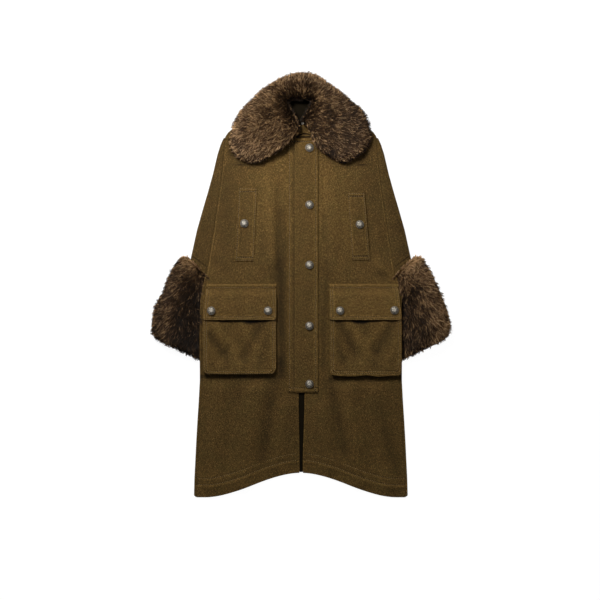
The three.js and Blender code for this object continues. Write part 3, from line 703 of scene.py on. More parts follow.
@dataclass(frozen=True)
class FloorFinish:
    """A plain pale studio floor."""

    pale: Colour = (0.10, 0.10, 0.10)
    paler: Colour = (0.12, 0.12, 0.12)
    white: Colour = (1.0, 1.0, 1.0)
    glow: float = 0.97

    def material(self) -> bpy.types.Material:
        """Makes the floor."""
        s = Shader("studio_floor")
        faint = s.noise(s.place(), 3, 2)
        tone = s.blend(faint * 0.04, self.pale, self.paler)
        return s.surface(Base_Color=tone, Roughness=0.9, Specular_IOR_Level=0.0,
                         Emission_Color=self.white, Emission_Strength=self.glow)


# --- Mesh helpers ---
def finished(bm: bmesh.types.BMesh, name: str) -> bpy.types.Mesh:
    """Turns a bmesh into a mesh and frees it.

    Args:
        bm: the bmesh.
        name: the mesh's name.

    Returns:
        The mesh.
    """
    mesh = bpy.data.meshes.new(name)
    bm.to_mesh(mesh)
    bm.free()
    return mesh


def spaced(length: float, step: float, fine: Sequence[float] = ()) -> Array:
    """Shares along a cloth, close together at its two turned edges and beside its seams.

    Args:
        length: the cloth's length.
        step: the usual distance between two rows.
        fine: distances from the start that need close rows.

    Returns:
        The shares, from 0 to 1.
    """
    close = [*EDGE_ROWS, *(length - e for e in EDGE_ROWS)]
    close += [f + d for f in fine for d in SEAM_ROWS]
    close = [w for w in close if 0 <= w <= length]
    count = max(2, round(length / step))
    plain = [length * i / count for i in range(1, count)]
    plain = [w for w in plain if min(abs(w - c) for c in close) > 0.45 * step]
    kept = sorted({*close, *plain})
    clean = [kept[0]]
    for w in kept[1:]:
        if w - clean[-1] > LEAST_GAP:
            clean.append(w)
    clean[-1] = length
    return np.array(clean) / length


def put_in_scene(name: str, mesh: bpy.types.Mesh,
                 material: bpy.types.Material) -> bpy.types.Object:
    """Links a finished mesh to the scene as a piece of the coat.

    Args:
        name: the piece's name.
        mesh: its mesh.
        material: its finish.

    Returns:
        The new piece.
    """
    piece = bpy.data.objects.new(name, mesh)
    bpy.context.scene.collection.objects.link(piece)
    mesh.materials.append(material)
    for polygon in mesh.polygons:
        polygon.use_smooth = True
    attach(piece, "root")
    LOG.info("%s: %d faces", name, len(mesh.polygons))
    return piece


def paint_cloth_light_and_shade(mesh: bpy.types.Mesh, tone: Optional[Tone]) -> None:
    """Stores painted light and shade at each point: highlights on crests and edges, shade in seams.

    Args:
        mesh: the cloth.
        tone: gives further painted light and shade at x, y.
    """
    count = len(mesh.vertices)
    place, normal = np.empty(count * 3), np.empty(count * 3)
    mesh.vertices.foreach_get("co", place)
    mesh.vertices.foreach_get("normal", normal)
    place, normal = place.reshape(-1, 3) / MM, normal.reshape(-1, 3)
    pair = np.empty(len(mesh.edges) * 2, dtype=np.int32)
    mesh.edges.foreach_get("vertices", pair)
    a, b = pair.reshape(-1, 2).T
    run = place[b] - place[a]
    bend = np.sum((normal[b] - normal[a]) * run, axis=1) / np.maximum(np.sum(run**2, axis=1), 0.4)
    crest, dip = np.zeros(count), np.zeros(count)
    for end in (a, b):
        np.maximum.at(crest, end, bend)
        np.minimum.at(dip, end, bend)
    # Painted shade where the cloth bends in, painted highlight where it bends out.
    share = np.clip(dip / 0.50, -0.9, 0) + np.clip((crest + dip) / 0.32, 0, 0.55)
    if tone is not None:
        share = share + tone(place[:, 0], place[:, 1])
    store_tone(mesh, share, -1.6, 1.2)


def wall(name: str, columns: Array, rows: Array, outer: Form, inner: Form,
         tone: Optional[Tone] = None) -> bpy.types.Mesh:
    """Makes a closed wall between two surfaces over one grid.

    Args:
        name: the mesh's name.
        columns: shares across.
        rows: shares along.
        outer: gives the outer surface's points at columns and rows.
        inner: gives the inner surface's points.
        tone: gives the cloth's painted light and shade at x, y.

    Returns:
        The closed mesh.
    """
    bm = bmesh.new()
    across, along = len(columns) - 1, len(rows) - 1
    bmesh.ops.create_grid(bm, x_segments=across, y_segments=along, size=1.0)
    raised = bmesh.ops.extrude_face_region(bm, geom=bm.faces[:])["geom"]
    bmesh.ops.translate(bm, verts=[v for v in raised if isinstance(v, bmesh.types.BMVert)],
                        vec=(0, 0, 1))
    mesh = finished(bm, name)
    flat = np.empty(len(mesh.vertices) * 3)
    mesh.vertices.foreach_get("co", flat)
    flat = flat.reshape(-1, 3)
    u = columns[np.rint((flat[:, 0] + 1) / 2 * across).astype(int)]
    v = rows[np.rint((flat[:, 1] + 1) / 2 * along).astype(int)]
    top = flat[:, 2] > 0.5
    points = np.where(top[:, None], np.stack(outer(u, v), 1), np.stack(inner(u, v), 1))
    mesh.vertices.foreach_set("co", (points * MM).ravel())
    bm = bmesh.new()
    bm.from_mesh(mesh)
    bmesh.ops.recalc_face_normals(bm, faces=bm.faces[:])
    bm.to_mesh(mesh)
    bm.free()
    mesh.update()
    paint_cloth_light_and_shade(mesh, tone)
    return mesh


def cloth(name: str, columns: Array, rows: Array, place: Lay,
          tone: Optional[Tone] = None) -> bpy.types.Mesh:
    """Makes a laid cloth from one function that gives x, y, underside and top.

    Args:
        name: the mesh's name.
        columns: shares across.
        rows: shares along.
        place: gives x, y, underside and top at two shares.
        tone: gives the cloth's painted light and shade at x, y.

    Returns:
        The closed mesh.
    """

    def level(which: int) -> Form:
        """One of the cloth's two surfaces."""

        def surface(u: Array, v: Array) -> Points:
            """The surface's points."""
            laid = place(u, v)
            return laid[0], laid[1], laid[which]

        return surface

    return wall(name, columns, rows, level(3), level(2), tone)


def store_tone(mesh: bpy.types.Mesh, tone: Array, low: float, high: float) -> None:
    """Gives each point of a mesh its tone, held between two limits."""
    mesh.attributes.new("tone", "FLOAT", "POINT").data.foreach_set(
        "value", np.clip(tone, low, high).ravel().astype(np.float32))


def tree_of(points: Array) -> KDTree:
    """A tree that finds the nearest of many points.

    Args:
        points: rows of x, y, z.

    Returns:
        The tree, balanced.
    """
    tree = KDTree(len(points))
    for i, point in enumerate(points):
        tree.insert(point, i)
    tree.balance()
    return tree


def mesh_from_arrays(name: str, points: Array, faces: Array) -> bpy.types.Mesh:
    """Makes a mesh of thousands of repeated small shapes from its point and face arrays.

    Args:
        name: the mesh's name.
        points: rows of x, y, z.
        faces: rows of point numbers.

    Returns:
        The mesh.
    """
    mesh = bpy.data.meshes.new(name)
    mesh.from_pydata((points * MM).tolist(), [], faces.tolist())
    mesh.update()
    return mesh


@dataclass(frozen=True)
class Stitching:
    """Rows of topstitching, each along a line of points on a surface."""

    length: float = 3.1
    pitch: float = 4.6
    thick: float = 0.66
    proud: float = 0.30

    def template(self) -> tuple[Array, Array]:
        """One stitch, a small spindle along x."""
        bm = bmesh.new()
        bmesh.ops.create_icosphere(bm, subdivisions=1, radius=1.0)
        bmesh.ops.scale(bm, vec=(self.length / 2, self.thick, self.thick * 0.8), verts=bm.verts[:])
        points = np.array([v.co[:] for v in bm.verts])
        faces = np.array([[v.index for v in f.verts] for f in bm.faces])
        bm.free()
        return points, faces

    def sew(self, name: str, lines: Sequence[Sequence[tuple[float, float]]],
            height: Tone) -> bpy.types.Mesh:
        """Sews along lines.

        Args:
            name: the mesh's name.
            lines: each a row of x, y points.
            height: gives the cloth's height at x, y.

        Returns:
            All the stitches as one mesh.
        """
        shape, faces = self.template()
        spots, turns = [], []
        for line in lines:
            p = np.asarray(line, float)
            step = np.hypot(*np.diff(p, axis=0).T)
            run = np.concatenate([[0], np.cumsum(step)])
            at = np.arange(self.pitch / 2, run[-1], self.pitch)
            x, y = np.interp(at, run, p[:, 0]), np.interp(at, run, p[:, 1])
            ahead = np.minimum(at + 0.5, run[-1])
            dx, dy = np.interp(ahead, run, p[:, 0]) - x, np.interp(ahead, run, p[:, 1]) - y
            spots.append(np.stack([x, y], 1))
            turns.append(np.arctan2(dy, dx))
        spot, turn = np.concatenate(spots), np.concatenate(turns)
        c, s = np.cos(turn)[:, None], np.sin(turn)[:, None]
        x = spot[:, :1] + c * shape[:, 0] - s * shape[:, 1]
        y = spot[:, 1:] + s * shape[:, 0] + c * shape[:, 1]
        z = height(spot[:, 0], spot[:, 1])[:, None] + self.proud + shape[:, 2]
        points = np.stack([x, y, z], 2).reshape(-1, 3)
        index = faces[None] + (np.arange(len(spot)) * len(shape))[:, None, None]
        return mesh_from_arrays(name, points, index.reshape(-1, 3))


@dataclass(frozen=True)
class Cloths:
    """The finishes that the sub-assemblies share."""

    loden: bpy.types.Material
    trim: bpy.types.Material
    thread: bpy.types.Material
    lining: bpy.types.Material
    hide: bpy.types.Material
    fur: bpy.types.Material
    silver: bpy.types.Material


# --- Back, fronts, yokes and sleeves ---
@dataclass(frozen=True)
class Back:
    """The back panel, which lies on the floor under everything else."""

    cut: tuple[float, float] = (0.555, 1.036)
    area: float = 0.47
    wide: float = 540.0
    long: float = 924.0
    step: float = 9.0

    def build(self, cloths: Cloths) -> None:
        def place(u: Array, v: Array) -> Laid:
            """The panel's points."""
            level = mix(HEM_LOW, SHOULDER_END, v)
            share = 2 * u - 1
            x = share * body_edge(level)
            y = sweep_row(level, hem(x) + BACK_HEM_INSET, back_top_line(x))
            turned = rolled(from_edge(u, v, self.wide, self.long), TURNED)
            under = lift(x, y)
            return x, y, under + turned, under + CLOTH - turned

        mesh = cloth("back", spaced(self.wide, self.step), spaced(self.long, self.step), place)
        piece = put_in_scene("loden_back", mesh, cloths.loden)
        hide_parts("back_panel")


@dataclass(frozen=True)
class Front:
    """One front, from the yoke seam to the hem, with its hem stitching."""

    side: Side
    cut: tuple[float, float] = (0.275, 0.862)
    area: float = 0.205
    wide: float = 262.0
    long: float = 862.0
    hem_rows: tuple[float, ...] = (33.0, 50.0)
    step: float = 4.2

    def place(self, u: Array, v: Array) -> Laid:
        """The front's points at shares across from the centre and up from the hem.

        Args:
            u: shares across.
            v: shares along.

        Returns:
            The x, y, underside and top.
        """
        level = mix(HEM_LOW, YOKE_SEAM - GAP / 2, v)
        inner = read(OPENING, level, 1 if self.side is Side.LEFT else 2)
        x = mix(inner, self.side.value * body_edge(level), u)
        y = level + (1 - smooth((level - HEM_LOW) / HEM_FADE)) * (hem(x) - HEM_LOW)
        edge = np.minimum(np.minimum(u, 1 - u) * self.wide,
                          np.minimum(v, 1 - v + 0.0012) * self.long)
        turned = rolled(edge, TURNED)
        top = self.top(x, y)
        return x, y, top - CLOTH + turned, top - turned

    def top(self, x: Array, y: Array) -> Array:
        """Height of the front's upper surface, with the channels of its stitching."""
        up = y - hem(x)
        side = body_edge(y) - np.abs(x)
        pressed = 0.55 * groove(up, self.hem_rows[0]) + 0.45 * groove(up, self.hem_rows[1])
        pressed = pressed - 0.35 * groove(up, self.hem_rows[0] - 5, 4)
        arm = np.where(y > UNDERARM, 0.75 * groove(side, 1.0, 1.6), 0.3 * groove(side, 6.0, 2.4))
        return front_top(x, y) - pressed * smooth(side / 8) - arm

    def build(self, cloths: Cloths) -> None:
        columns = spaced(self.wide, self.step, (self.wide - 7,))
        rows = spaced(self.long, self.step, self.hem_rows)
        mesh = cloth("front", columns, rows, self.place, front_painted_light)
        name = self.side.word
        piece = put_in_scene(f"loden_front_{name}", mesh, cloths.loden)
        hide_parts(f"front_{name}")
        lines = [[(self.side.value * a, float(hem(a)) + up) for a in np.linspace(12, 268, 90)]
                 for up in self.hem_rows]
        seams = Stitching().sew("front_stitches", lines, self.top)
        thread = put_in_scene(f"topstitch_front_{name}", seams, cloths.thread)


@dataclass(frozen=True)
class Yoke:
    """One front yoke, between the cross seam, the shoulder and the neck."""

    side: Side
    cut: tuple[float, float] = (0.205, 0.166)
    area: float = 0.0225
    wide: float = 200.0
    long: float = 110.0
    step: float = 4.0

    def place(self, u: Array, v: Array) -> Laid:
        """The yoke's points at shares across from the centre and up from the seam."""
        inner = -6.0 if self.side is Side.LEFT else 10.4
        x = mix(inner, self.side.value * body_edge(mix(YOKE_SEAM, SHOULDER_END, v)), u)
        y = mix(YOKE_SEAM + GAP / 2, yoke_top_line(x), v)
        edge = np.minimum(np.minimum(u, 1 - u) * self.wide,
                          np.minimum(v + 0.0095, 1 - v) * self.long)
        turned = rolled(edge, TURNED)
        top = self.top(x, y)
        return x, y, top - CLOTH + turned, top - turned

    def top(self, x: Array, y: Array) -> Array:
        """Height of the yoke, which bulges a little below the collar."""
        side = body_edge(np.minimum(y, SHOULDER_END)) - np.abs(x)
        soft = 0.3 * wander(x, y, 90, 5) * smooth(side / 30) * smooth((y - YOKE_SEAM) / 12)
        return FRONT_TOP + soft * smooth((np.abs(x) - 48) / 20) - 0.75 * groove(side, 1.0, 1.6)

    def build(self, cloths: Cloths) -> None:
        name = self.side.word
        mesh = cloth("yoke", spaced(self.wide, self.step), spaced(self.long, self.step),
                     self.place, front_painted_light)
        piece = put_in_scene(f"loden_yoke_{name}", mesh, cloths.loden)
        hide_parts(f"yoke_{name}")


@dataclass(frozen=True)
class Sleeve:
    """One wide sleeve: a single cloth folded round the outer edge, from armhole to armhole."""

    side: Side
    cut: tuple[float, float] = (0.082, 0.352)
    area: float = 0.0225
    seam_x: tuple[float, ...] = (196.6, 199.2, 201.5, 206.8, 213.1, 220.6, 228.2, 236.7, 247.6)
    seam_y: tuple[float, ...] = (383, 364, 340, 290, 240, 190, 138, 86, 24.5)
    fold_x: tuple[float, ...] = (201, 208.6, 216.6, 229, 243, 256.5, 270, 279, 286.5)
    fold_y: tuple[float, ...] = (381, 364, 339, 286, 236, 190, 142, 100, 65)
    rise: tuple[float, ...] = (0, 0.3, 0.6, 1.2, 2, 2.6, 3, 3.4, 3.6)
    long: float = 330.0
    end_row: float = 14.0
    fold_at: float = 0.44
    flat: float = 0.93

    def ring(self, u: Array, v: Array, inset: float) -> Points:
        """The sleeve's points, u running from the front armhole over the fold to the back.

        Args:
            u: shares round the sleeve.
            v: shares down it.
            inset: 0 for the outer face and 1 for the inner.

        Returns:
            The x, y and z of each point.
        """
        at = {key: spread(getattr(self, key), v)
              for key in ("seam_x", "seam_y", "fold_x", "fold_y", "rise")}
        fold, flat = self.fold_at, self.flat
        turn = np.clip((u - fold) / (1 - 2 * fold), 0, 1)
        share = np.where(u < fold, u / fold * flat, np.where(
            u > 1 - fold, (1 - u) / fold * flat, flat + (1 - flat) * np.sin(turn * math.pi)))
        width = at["fold_x"] - at["seam_x"]
        share = share * (1 - inset * CLOTH / width)
        x = mix(at["seam_x"] - 1.9, at["fold_x"], share)
        y = mix(at["seam_y"], at["fold_y"], share)
        puff = np.sin(np.clip(share / 0.96, 0, 1) * math.pi) ** 0.8 * at["rise"]
        soft = 0.4 * wander(x, y, 80, 12) * np.sin(np.clip(share, 0, 1) * math.pi)
        front = (FRONT_TOP if inset == 0 else FRONT_UNDER) + puff + soft
        back = 0.0 if inset == 0 else CLOTH
        level = mix(front, back, smooth(turn))
        edge = np.minimum(v, 1 - v) * self.long
        turned = rolled(edge, TURNED) * np.where(u < 0.5, 1, -1)
        sunk = 0.9 * bell(share * width / 2.2) * np.where(u < 0.5, 1, 0)
        channel = np.where(u < fold, 0.5 * groove(edge, self.end_row, 1.8), 0) * (inset == 0)
        level = level - turned * (1 if inset == 0 else -1) - channel - sunk
        return self.side.value * x, y, level + lift(x, y)

    def tone(self, x: Array, y: Array) -> Array:
        """Painted shade over the sleeve, darkest towards its folded edge."""
        return -0.43 - 0.14 * smooth((np.abs(x) - 240) / 30) + 0.06 * wander(x, y, 60, 78)

    def build(self, cloths: Cloths) -> None:
        name = self.side.word
        columns = np.unique(np.concatenate([spaced(110, 3.2), np.linspace(0.42, 0.58, 17)]))
        rows = spaced(self.long, 4, (self.long - self.end_row,))
        mesh = wall("sleeve", columns, rows, lambda u, v: self.ring(u, v, 0),
                    lambda u, v: self.ring(u, v, 1), self.tone)
        piece = put_in_scene(f"loden_sleeve_{name}", mesh, cloths.loden)
        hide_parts(f"sleeve_{name}")


# --- Placket, welts and pockets ---
@dataclass(frozen=True)
class Placket:
    """The button placket, its stand, the neck band and the neck facing."""

    left: float = -33.0
    step: float = -15.6
    right: float = 44.7
    top_end: float = 380.6
    bottom: float = -279.5
    thin: float = 1.6
    thick: float = 3.4
    end_roll: float = 1.5
    wide: float = 77.7
    long: float = 660.0
    left_row: float = 3.4
    right_row: float = 38.6
    low_row: float = 12.5
    top_row: float = 8.0
    tuck_bow: float = 8.2
    tuck_middle: float = 10.5
    tuck_reach: float = 21.0
    tuck_upper: float = 392.4
    tuck_lower: float = 384.2
    stand_bottom: float = -277.0
    stand_top: float = 383.0
    vent_span: tuple[float, float] = (-486.0, -281.0)
    facing_span: tuple[float, float] = (400.0, 495.0)

    def surface(self, x: Array, y: Array) -> Array:
        """Height of the placket's upper face."""
        on_top = smooth((x - self.step + 1.4) / 1.6)
        height = mix(self.thin, self.thick, on_top)
        up = y - self.bottom
        height = height + self.end_roll * bell((up - 6) / 3.4)
        height = height - 0.62 * groove(x, self.right_row, 1.3)
        height = height - 0.4 * groove(x, self.left + self.left_row, 1.2)
        height = height - 0.5 * groove(up, self.low_row, 1.3)
        height = height - 0.9 * groove(self.top_end - y, self.top_row, 1.3)
        soft = 0.28 * wander(x, y, 60, 21) + 0.3 * np.sin(y / 38.0) * smooth((x - 8) / 24)
        return FRONT_TOP + GAP + height + soft * smooth((x - self.left) / 12)

    def tone(self, x: Array, y: Array) -> Array:
        """Painted light and shade on the placket, darker lower down."""
        low = 1 - smooth((y + 60) / 260)
        # Painted highlight along the free edge and the rolled top, painted shade beside the step
        # and in the top channel.
        strip = 0.16 * bell((x - 42.4) / 2.2) - 0.10 * (1 - smooth((x + 22) / 8))
        strip = strip + 0.6 * bell((y - 377.4) / 2.2)
        strip = strip - 1.0 * bell((y - 372.4) / 1.8)
        return 0.16 - 0.16 * low + strip + 0.08 * wander(x, y, 60, 21) + collar_shade(x, y)

    def band_painted_shade(self, x: Array, y: Array) -> Array:
        """Painted shade on the neck band: in its two curved tucks, at its ends and near the collar.
        """
        share = (x - self.tuck_middle) / self.tuck_reach
        upper, lower = y - self.tuck_upper + self.tuck_bow * share**2, y - self.tuck_lower
        tucks = bell(upper / 2.2) + bell(lower / 1.9)
        corner = smooth((np.abs(share) - 0.55) / 0.3) * (y < 393)
        return -0.10 - 1.0 * tucks - 0.8 * corner - 0.25 * smooth((y - 396) / 10)

    def place(self, u: Array, v: Array) -> Laid:
        """The placket's points."""
        x, y = mix(self.left, self.right, u), mix(self.bottom, self.top_end, v)
        edge = from_edge(u, v, self.wide, self.long)
        near_left = smooth((x - self.left) / 14)
        turned = rolled(edge, 0.75) + rolled(edge, 1.5) * near_left * 0.55
        under = FRONT_TOP + GAP + turned * 0.6
        return x, y, under, np.maximum(self.surface(x, y) - turned, under + 0.25)

    def stand(self, u: Array, v: Array) -> Laid:
        """The button stand's points."""
        y = mix(self.stand_bottom, self.stand_top, v)
        x = mix(read(OPENING, y, 1) + GAP, read(OPENING, y, 2) - GAP, u)
        turned = rolled(np.minimum(u, 1 - u) * 15, 1.1)
        return x, y, FRONT_UNDER + turned, FRONT_TOP - turned

    def vent(self, u: Array, v: Array) -> Laid:
        """The back's lining, as far as the vent shows it; its near-black paints the slit's shade.
        """
        y = mix(*self.vent_span, v)
        x = mix(-5.2, 9.4, u) * mix(0.50, 1.0, smooth((y + 480) / 200))
        under = lift(x, y) + CLOTH + 0.02
        return x, y, under, under + 0.25 + 0.04 * wander(x, y, 30, 19)

    def band(self, u: Array, v: Array) -> Laid:
        """The neck band's points, an arc over the placket's upper end that runs up to the hook."""
        share = 2 * u - 1
        x = 12 + 24 * share
        y = mix(382.0 - 1.2 * share**2, 417 - 20 * share**2, v)
        turned = rolled(np.minimum(v, 1 - v) * 30, 0.95)
        under = FRONT_TOP + GAP
        bowed = y + self.tuck_bow * ((x - self.tuck_middle) / self.tuck_reach) ** 2
        arc = 0.9 * groove(bowed, self.tuck_upper, 1.2) + 0.5 * groove(y, self.tuck_lower, 1.0)
        return x, y, under + turned, under + 2.4 - turned - np.clip(arc, -0.4, 1.4)

    def facing(self, u: Array, v: Array) -> Laid:
        """The neck facing's points, seen in the throat; its near-black paints the throat's shade.
        """
        y = mix(*self.facing_span, v)
        half = np.interp(y, [p[1] for p in FRONT_NECK], [p[0] for p in FRONT_NECK]) - 3
        x = (2 * u - 1) * half
        under = FRONT_UNDER + 0 * x
        return x, y, under, under + 1.2 + 0.12 * wander(x, y, 30, 9)

    def build(self, cloths: Cloths) -> None:
        columns = spaced(self.wide, 3.0, (3.4, 17.0, 21.4, 71.6))
        rows = spaced(self.long, 4.0, (6.0, 12.5, 652.0))
        strip = cloth("placket", columns, rows, self.place, self.tone)
        piece = put_in_scene("loden_placket", strip, cloths.trim)
        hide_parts("placket")
        low, high = self.bottom + 4, self.top_end - 4
        lines = [[(x, low), (x, high)] for x in (self.right_row, self.left + self.left_row)]
        lines += [[(self.left + 6, y), (self.right_row, y)]
                  for y in (self.bottom + self.low_row, self.top_end - self.top_row)]
        seams = Stitching().sew("placket_stitches", lines, self.surface)
        thread = put_in_scene("topstitch_placket", seams, cloths.thread)
        mesh = cloth("stand", spaced(15, 3), spaced(self.long, 8), self.stand)
        stand = put_in_scene("loden_button_stand", mesh, cloths.loden)
        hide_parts("button_stand")
        mesh = cloth("band", spaced(48, 1.6), spaced(34, 0.9), self.band, self.band_painted_shade)
        band = put_in_scene("loden_neck_band", mesh, cloths.trim)
        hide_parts("neck_band")
        mesh = cloth("vent", np.linspace(0, 1, 7), np.linspace(0, 1, 60), self.vent)
        vent = put_in_scene("vent_lining_painted_shade", mesh, cloths.lining)
        mesh = cloth("facing", np.linspace(0, 1, 30), np.linspace(0, 1, 22), self.facing)
        facing = put_in_scene("neck_facing_cloth", mesh, cloths.lining)
        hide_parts("neck_facing")


@dataclass(frozen=True)
class Welt:
    """One slanting chest welt, sewn down on three sides and open along its lip."""

    side: Side
    top_left: float
    top_right: float
    bottom_left: float
    bottom_right: float
    top: float
    bottom: float
    lip: float = 1.4
    wide: float = 48.0
    long: float = 188.0
    box: float = 3.4
    end_row: float = 2.6
    cross: float = 9.4
    cut: tuple[float, float] = (0.049, 0.190)

    def edges(self, down: Array) -> tuple[Array, Array]:
        """The welt's left and right edges at a share down it."""
        return (mix(self.top_left, self.bottom_left, down),
                mix(self.top_right, self.bottom_right, down))

    def point(self, across: Array, down: Array) -> tuple[Array, Array]:
        """The x, y at shares across and down the welt."""
        left, right = self.edges(down)
        return mix(left, right, across), mix(self.top, self.bottom, down)

    def shares(self, x: Array, y: Array) -> tuple[Array, Array]:
        """Shares across and down the welt at x, y."""
        down = (self.top - y) / (self.top - self.bottom)
        left, right = self.edges(down)
        return (x - left) / (right - left), down

    def surface(self, x: Array, y: Array) -> Array:
        """Height of the welt's upper face."""
        across, down = self.shares(x, y)
        towards = 1 - across if self.side is Side.LEFT else across
        lip = self.lip * np.clip(towards, 0, 1) ** 2 * np.sin(math.pi * np.clip(down, 0, 1))
        length = self.top - self.bottom
        ends = np.minimum(down, 1 - down) * length
        sides = np.minimum(across, 1 - across) * self.wide
        stitched = 0.75 * groove(sides, self.box, 1.2) + 0.45 * groove(ends, self.end_row, 1.1)
        stitched = stitched + 0.85 * groove(ends, self.cross, 1.2) * smooth((sides - 2) / 4)
        swell = 0.7 * np.sin(math.pi * np.clip(across, 0, 1)) * smooth((ends - 30) / 24)
        return folded_front(x, y) + GAP + CLOTH + lip - stitched + swell

    def tone(self, x: Array, y: Array) -> Array:
        """Painted shade in the welt's cross channels and painted highlights on its rolls and lip.
        """
        across, down = self.shares(x, y)
        ends = np.minimum(down, 1 - down) * (self.top - self.bottom)
        middle = smooth((np.minimum(across, 1 - across) * self.wide - 2) / 3)
        bar = 0.34 * bell((ends - 5.0) / 1.8) - 0.9 * bell((ends - 9.6) / 2.3)
        lip = 0.22 * bell((across - 0.90) * self.wide / 1.8)
        return front_painted_light(x, y) + bar * middle + lip

    def place(self, u: Array, v: Array) -> Laid:
        """The welt's points at shares across and down."""
        x, y = self.point(u, v)
        turned = rolled(from_edge(u, v, self.wide, self.long), TURNED)
        top = self.surface(x, y)
        under = np.minimum(top - 0.3, folded_front(x, y) + GAP)
        return x, y, under + turned * 0.7, top - turned

    def lines(self) -> list[list[tuple[float, float]]]:
        """The welt's rows of stitching: a box and two cross rows."""
        length = self.top - self.bottom
        a, b, c = self.box / self.wide, self.end_row / length, self.cross / length
        rows = (((a, b), (1 - a, b), (1 - a, 1 - b), (a, 1 - b), (a, b)),
                ((a, c), (1 - a, c)), ((a, 1 - c), (1 - a, 1 - c)))
        return [[self.point(*shares) for shares in row] for row in rows]

    def build(self, cloths: Cloths) -> None:
        name = self.side.word
        columns = spaced(self.wide, 2.4, (3.4, 44.6))
        rows = spaced(self.long, 3.0, (3.4, 9.4, 178.6, 184.6))
        mesh = cloth("welt", columns, rows, self.place, self.tone)
        piece = put_in_scene(f"loden_welt_{name}", mesh, cloths.trim)
        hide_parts(f"welt_{name}")
        seams = Stitching().sew("welt_stitches", self.lines(), self.surface)
        thread = put_in_scene(f"topstitch_welt_{name}", seams, cloths.thread)


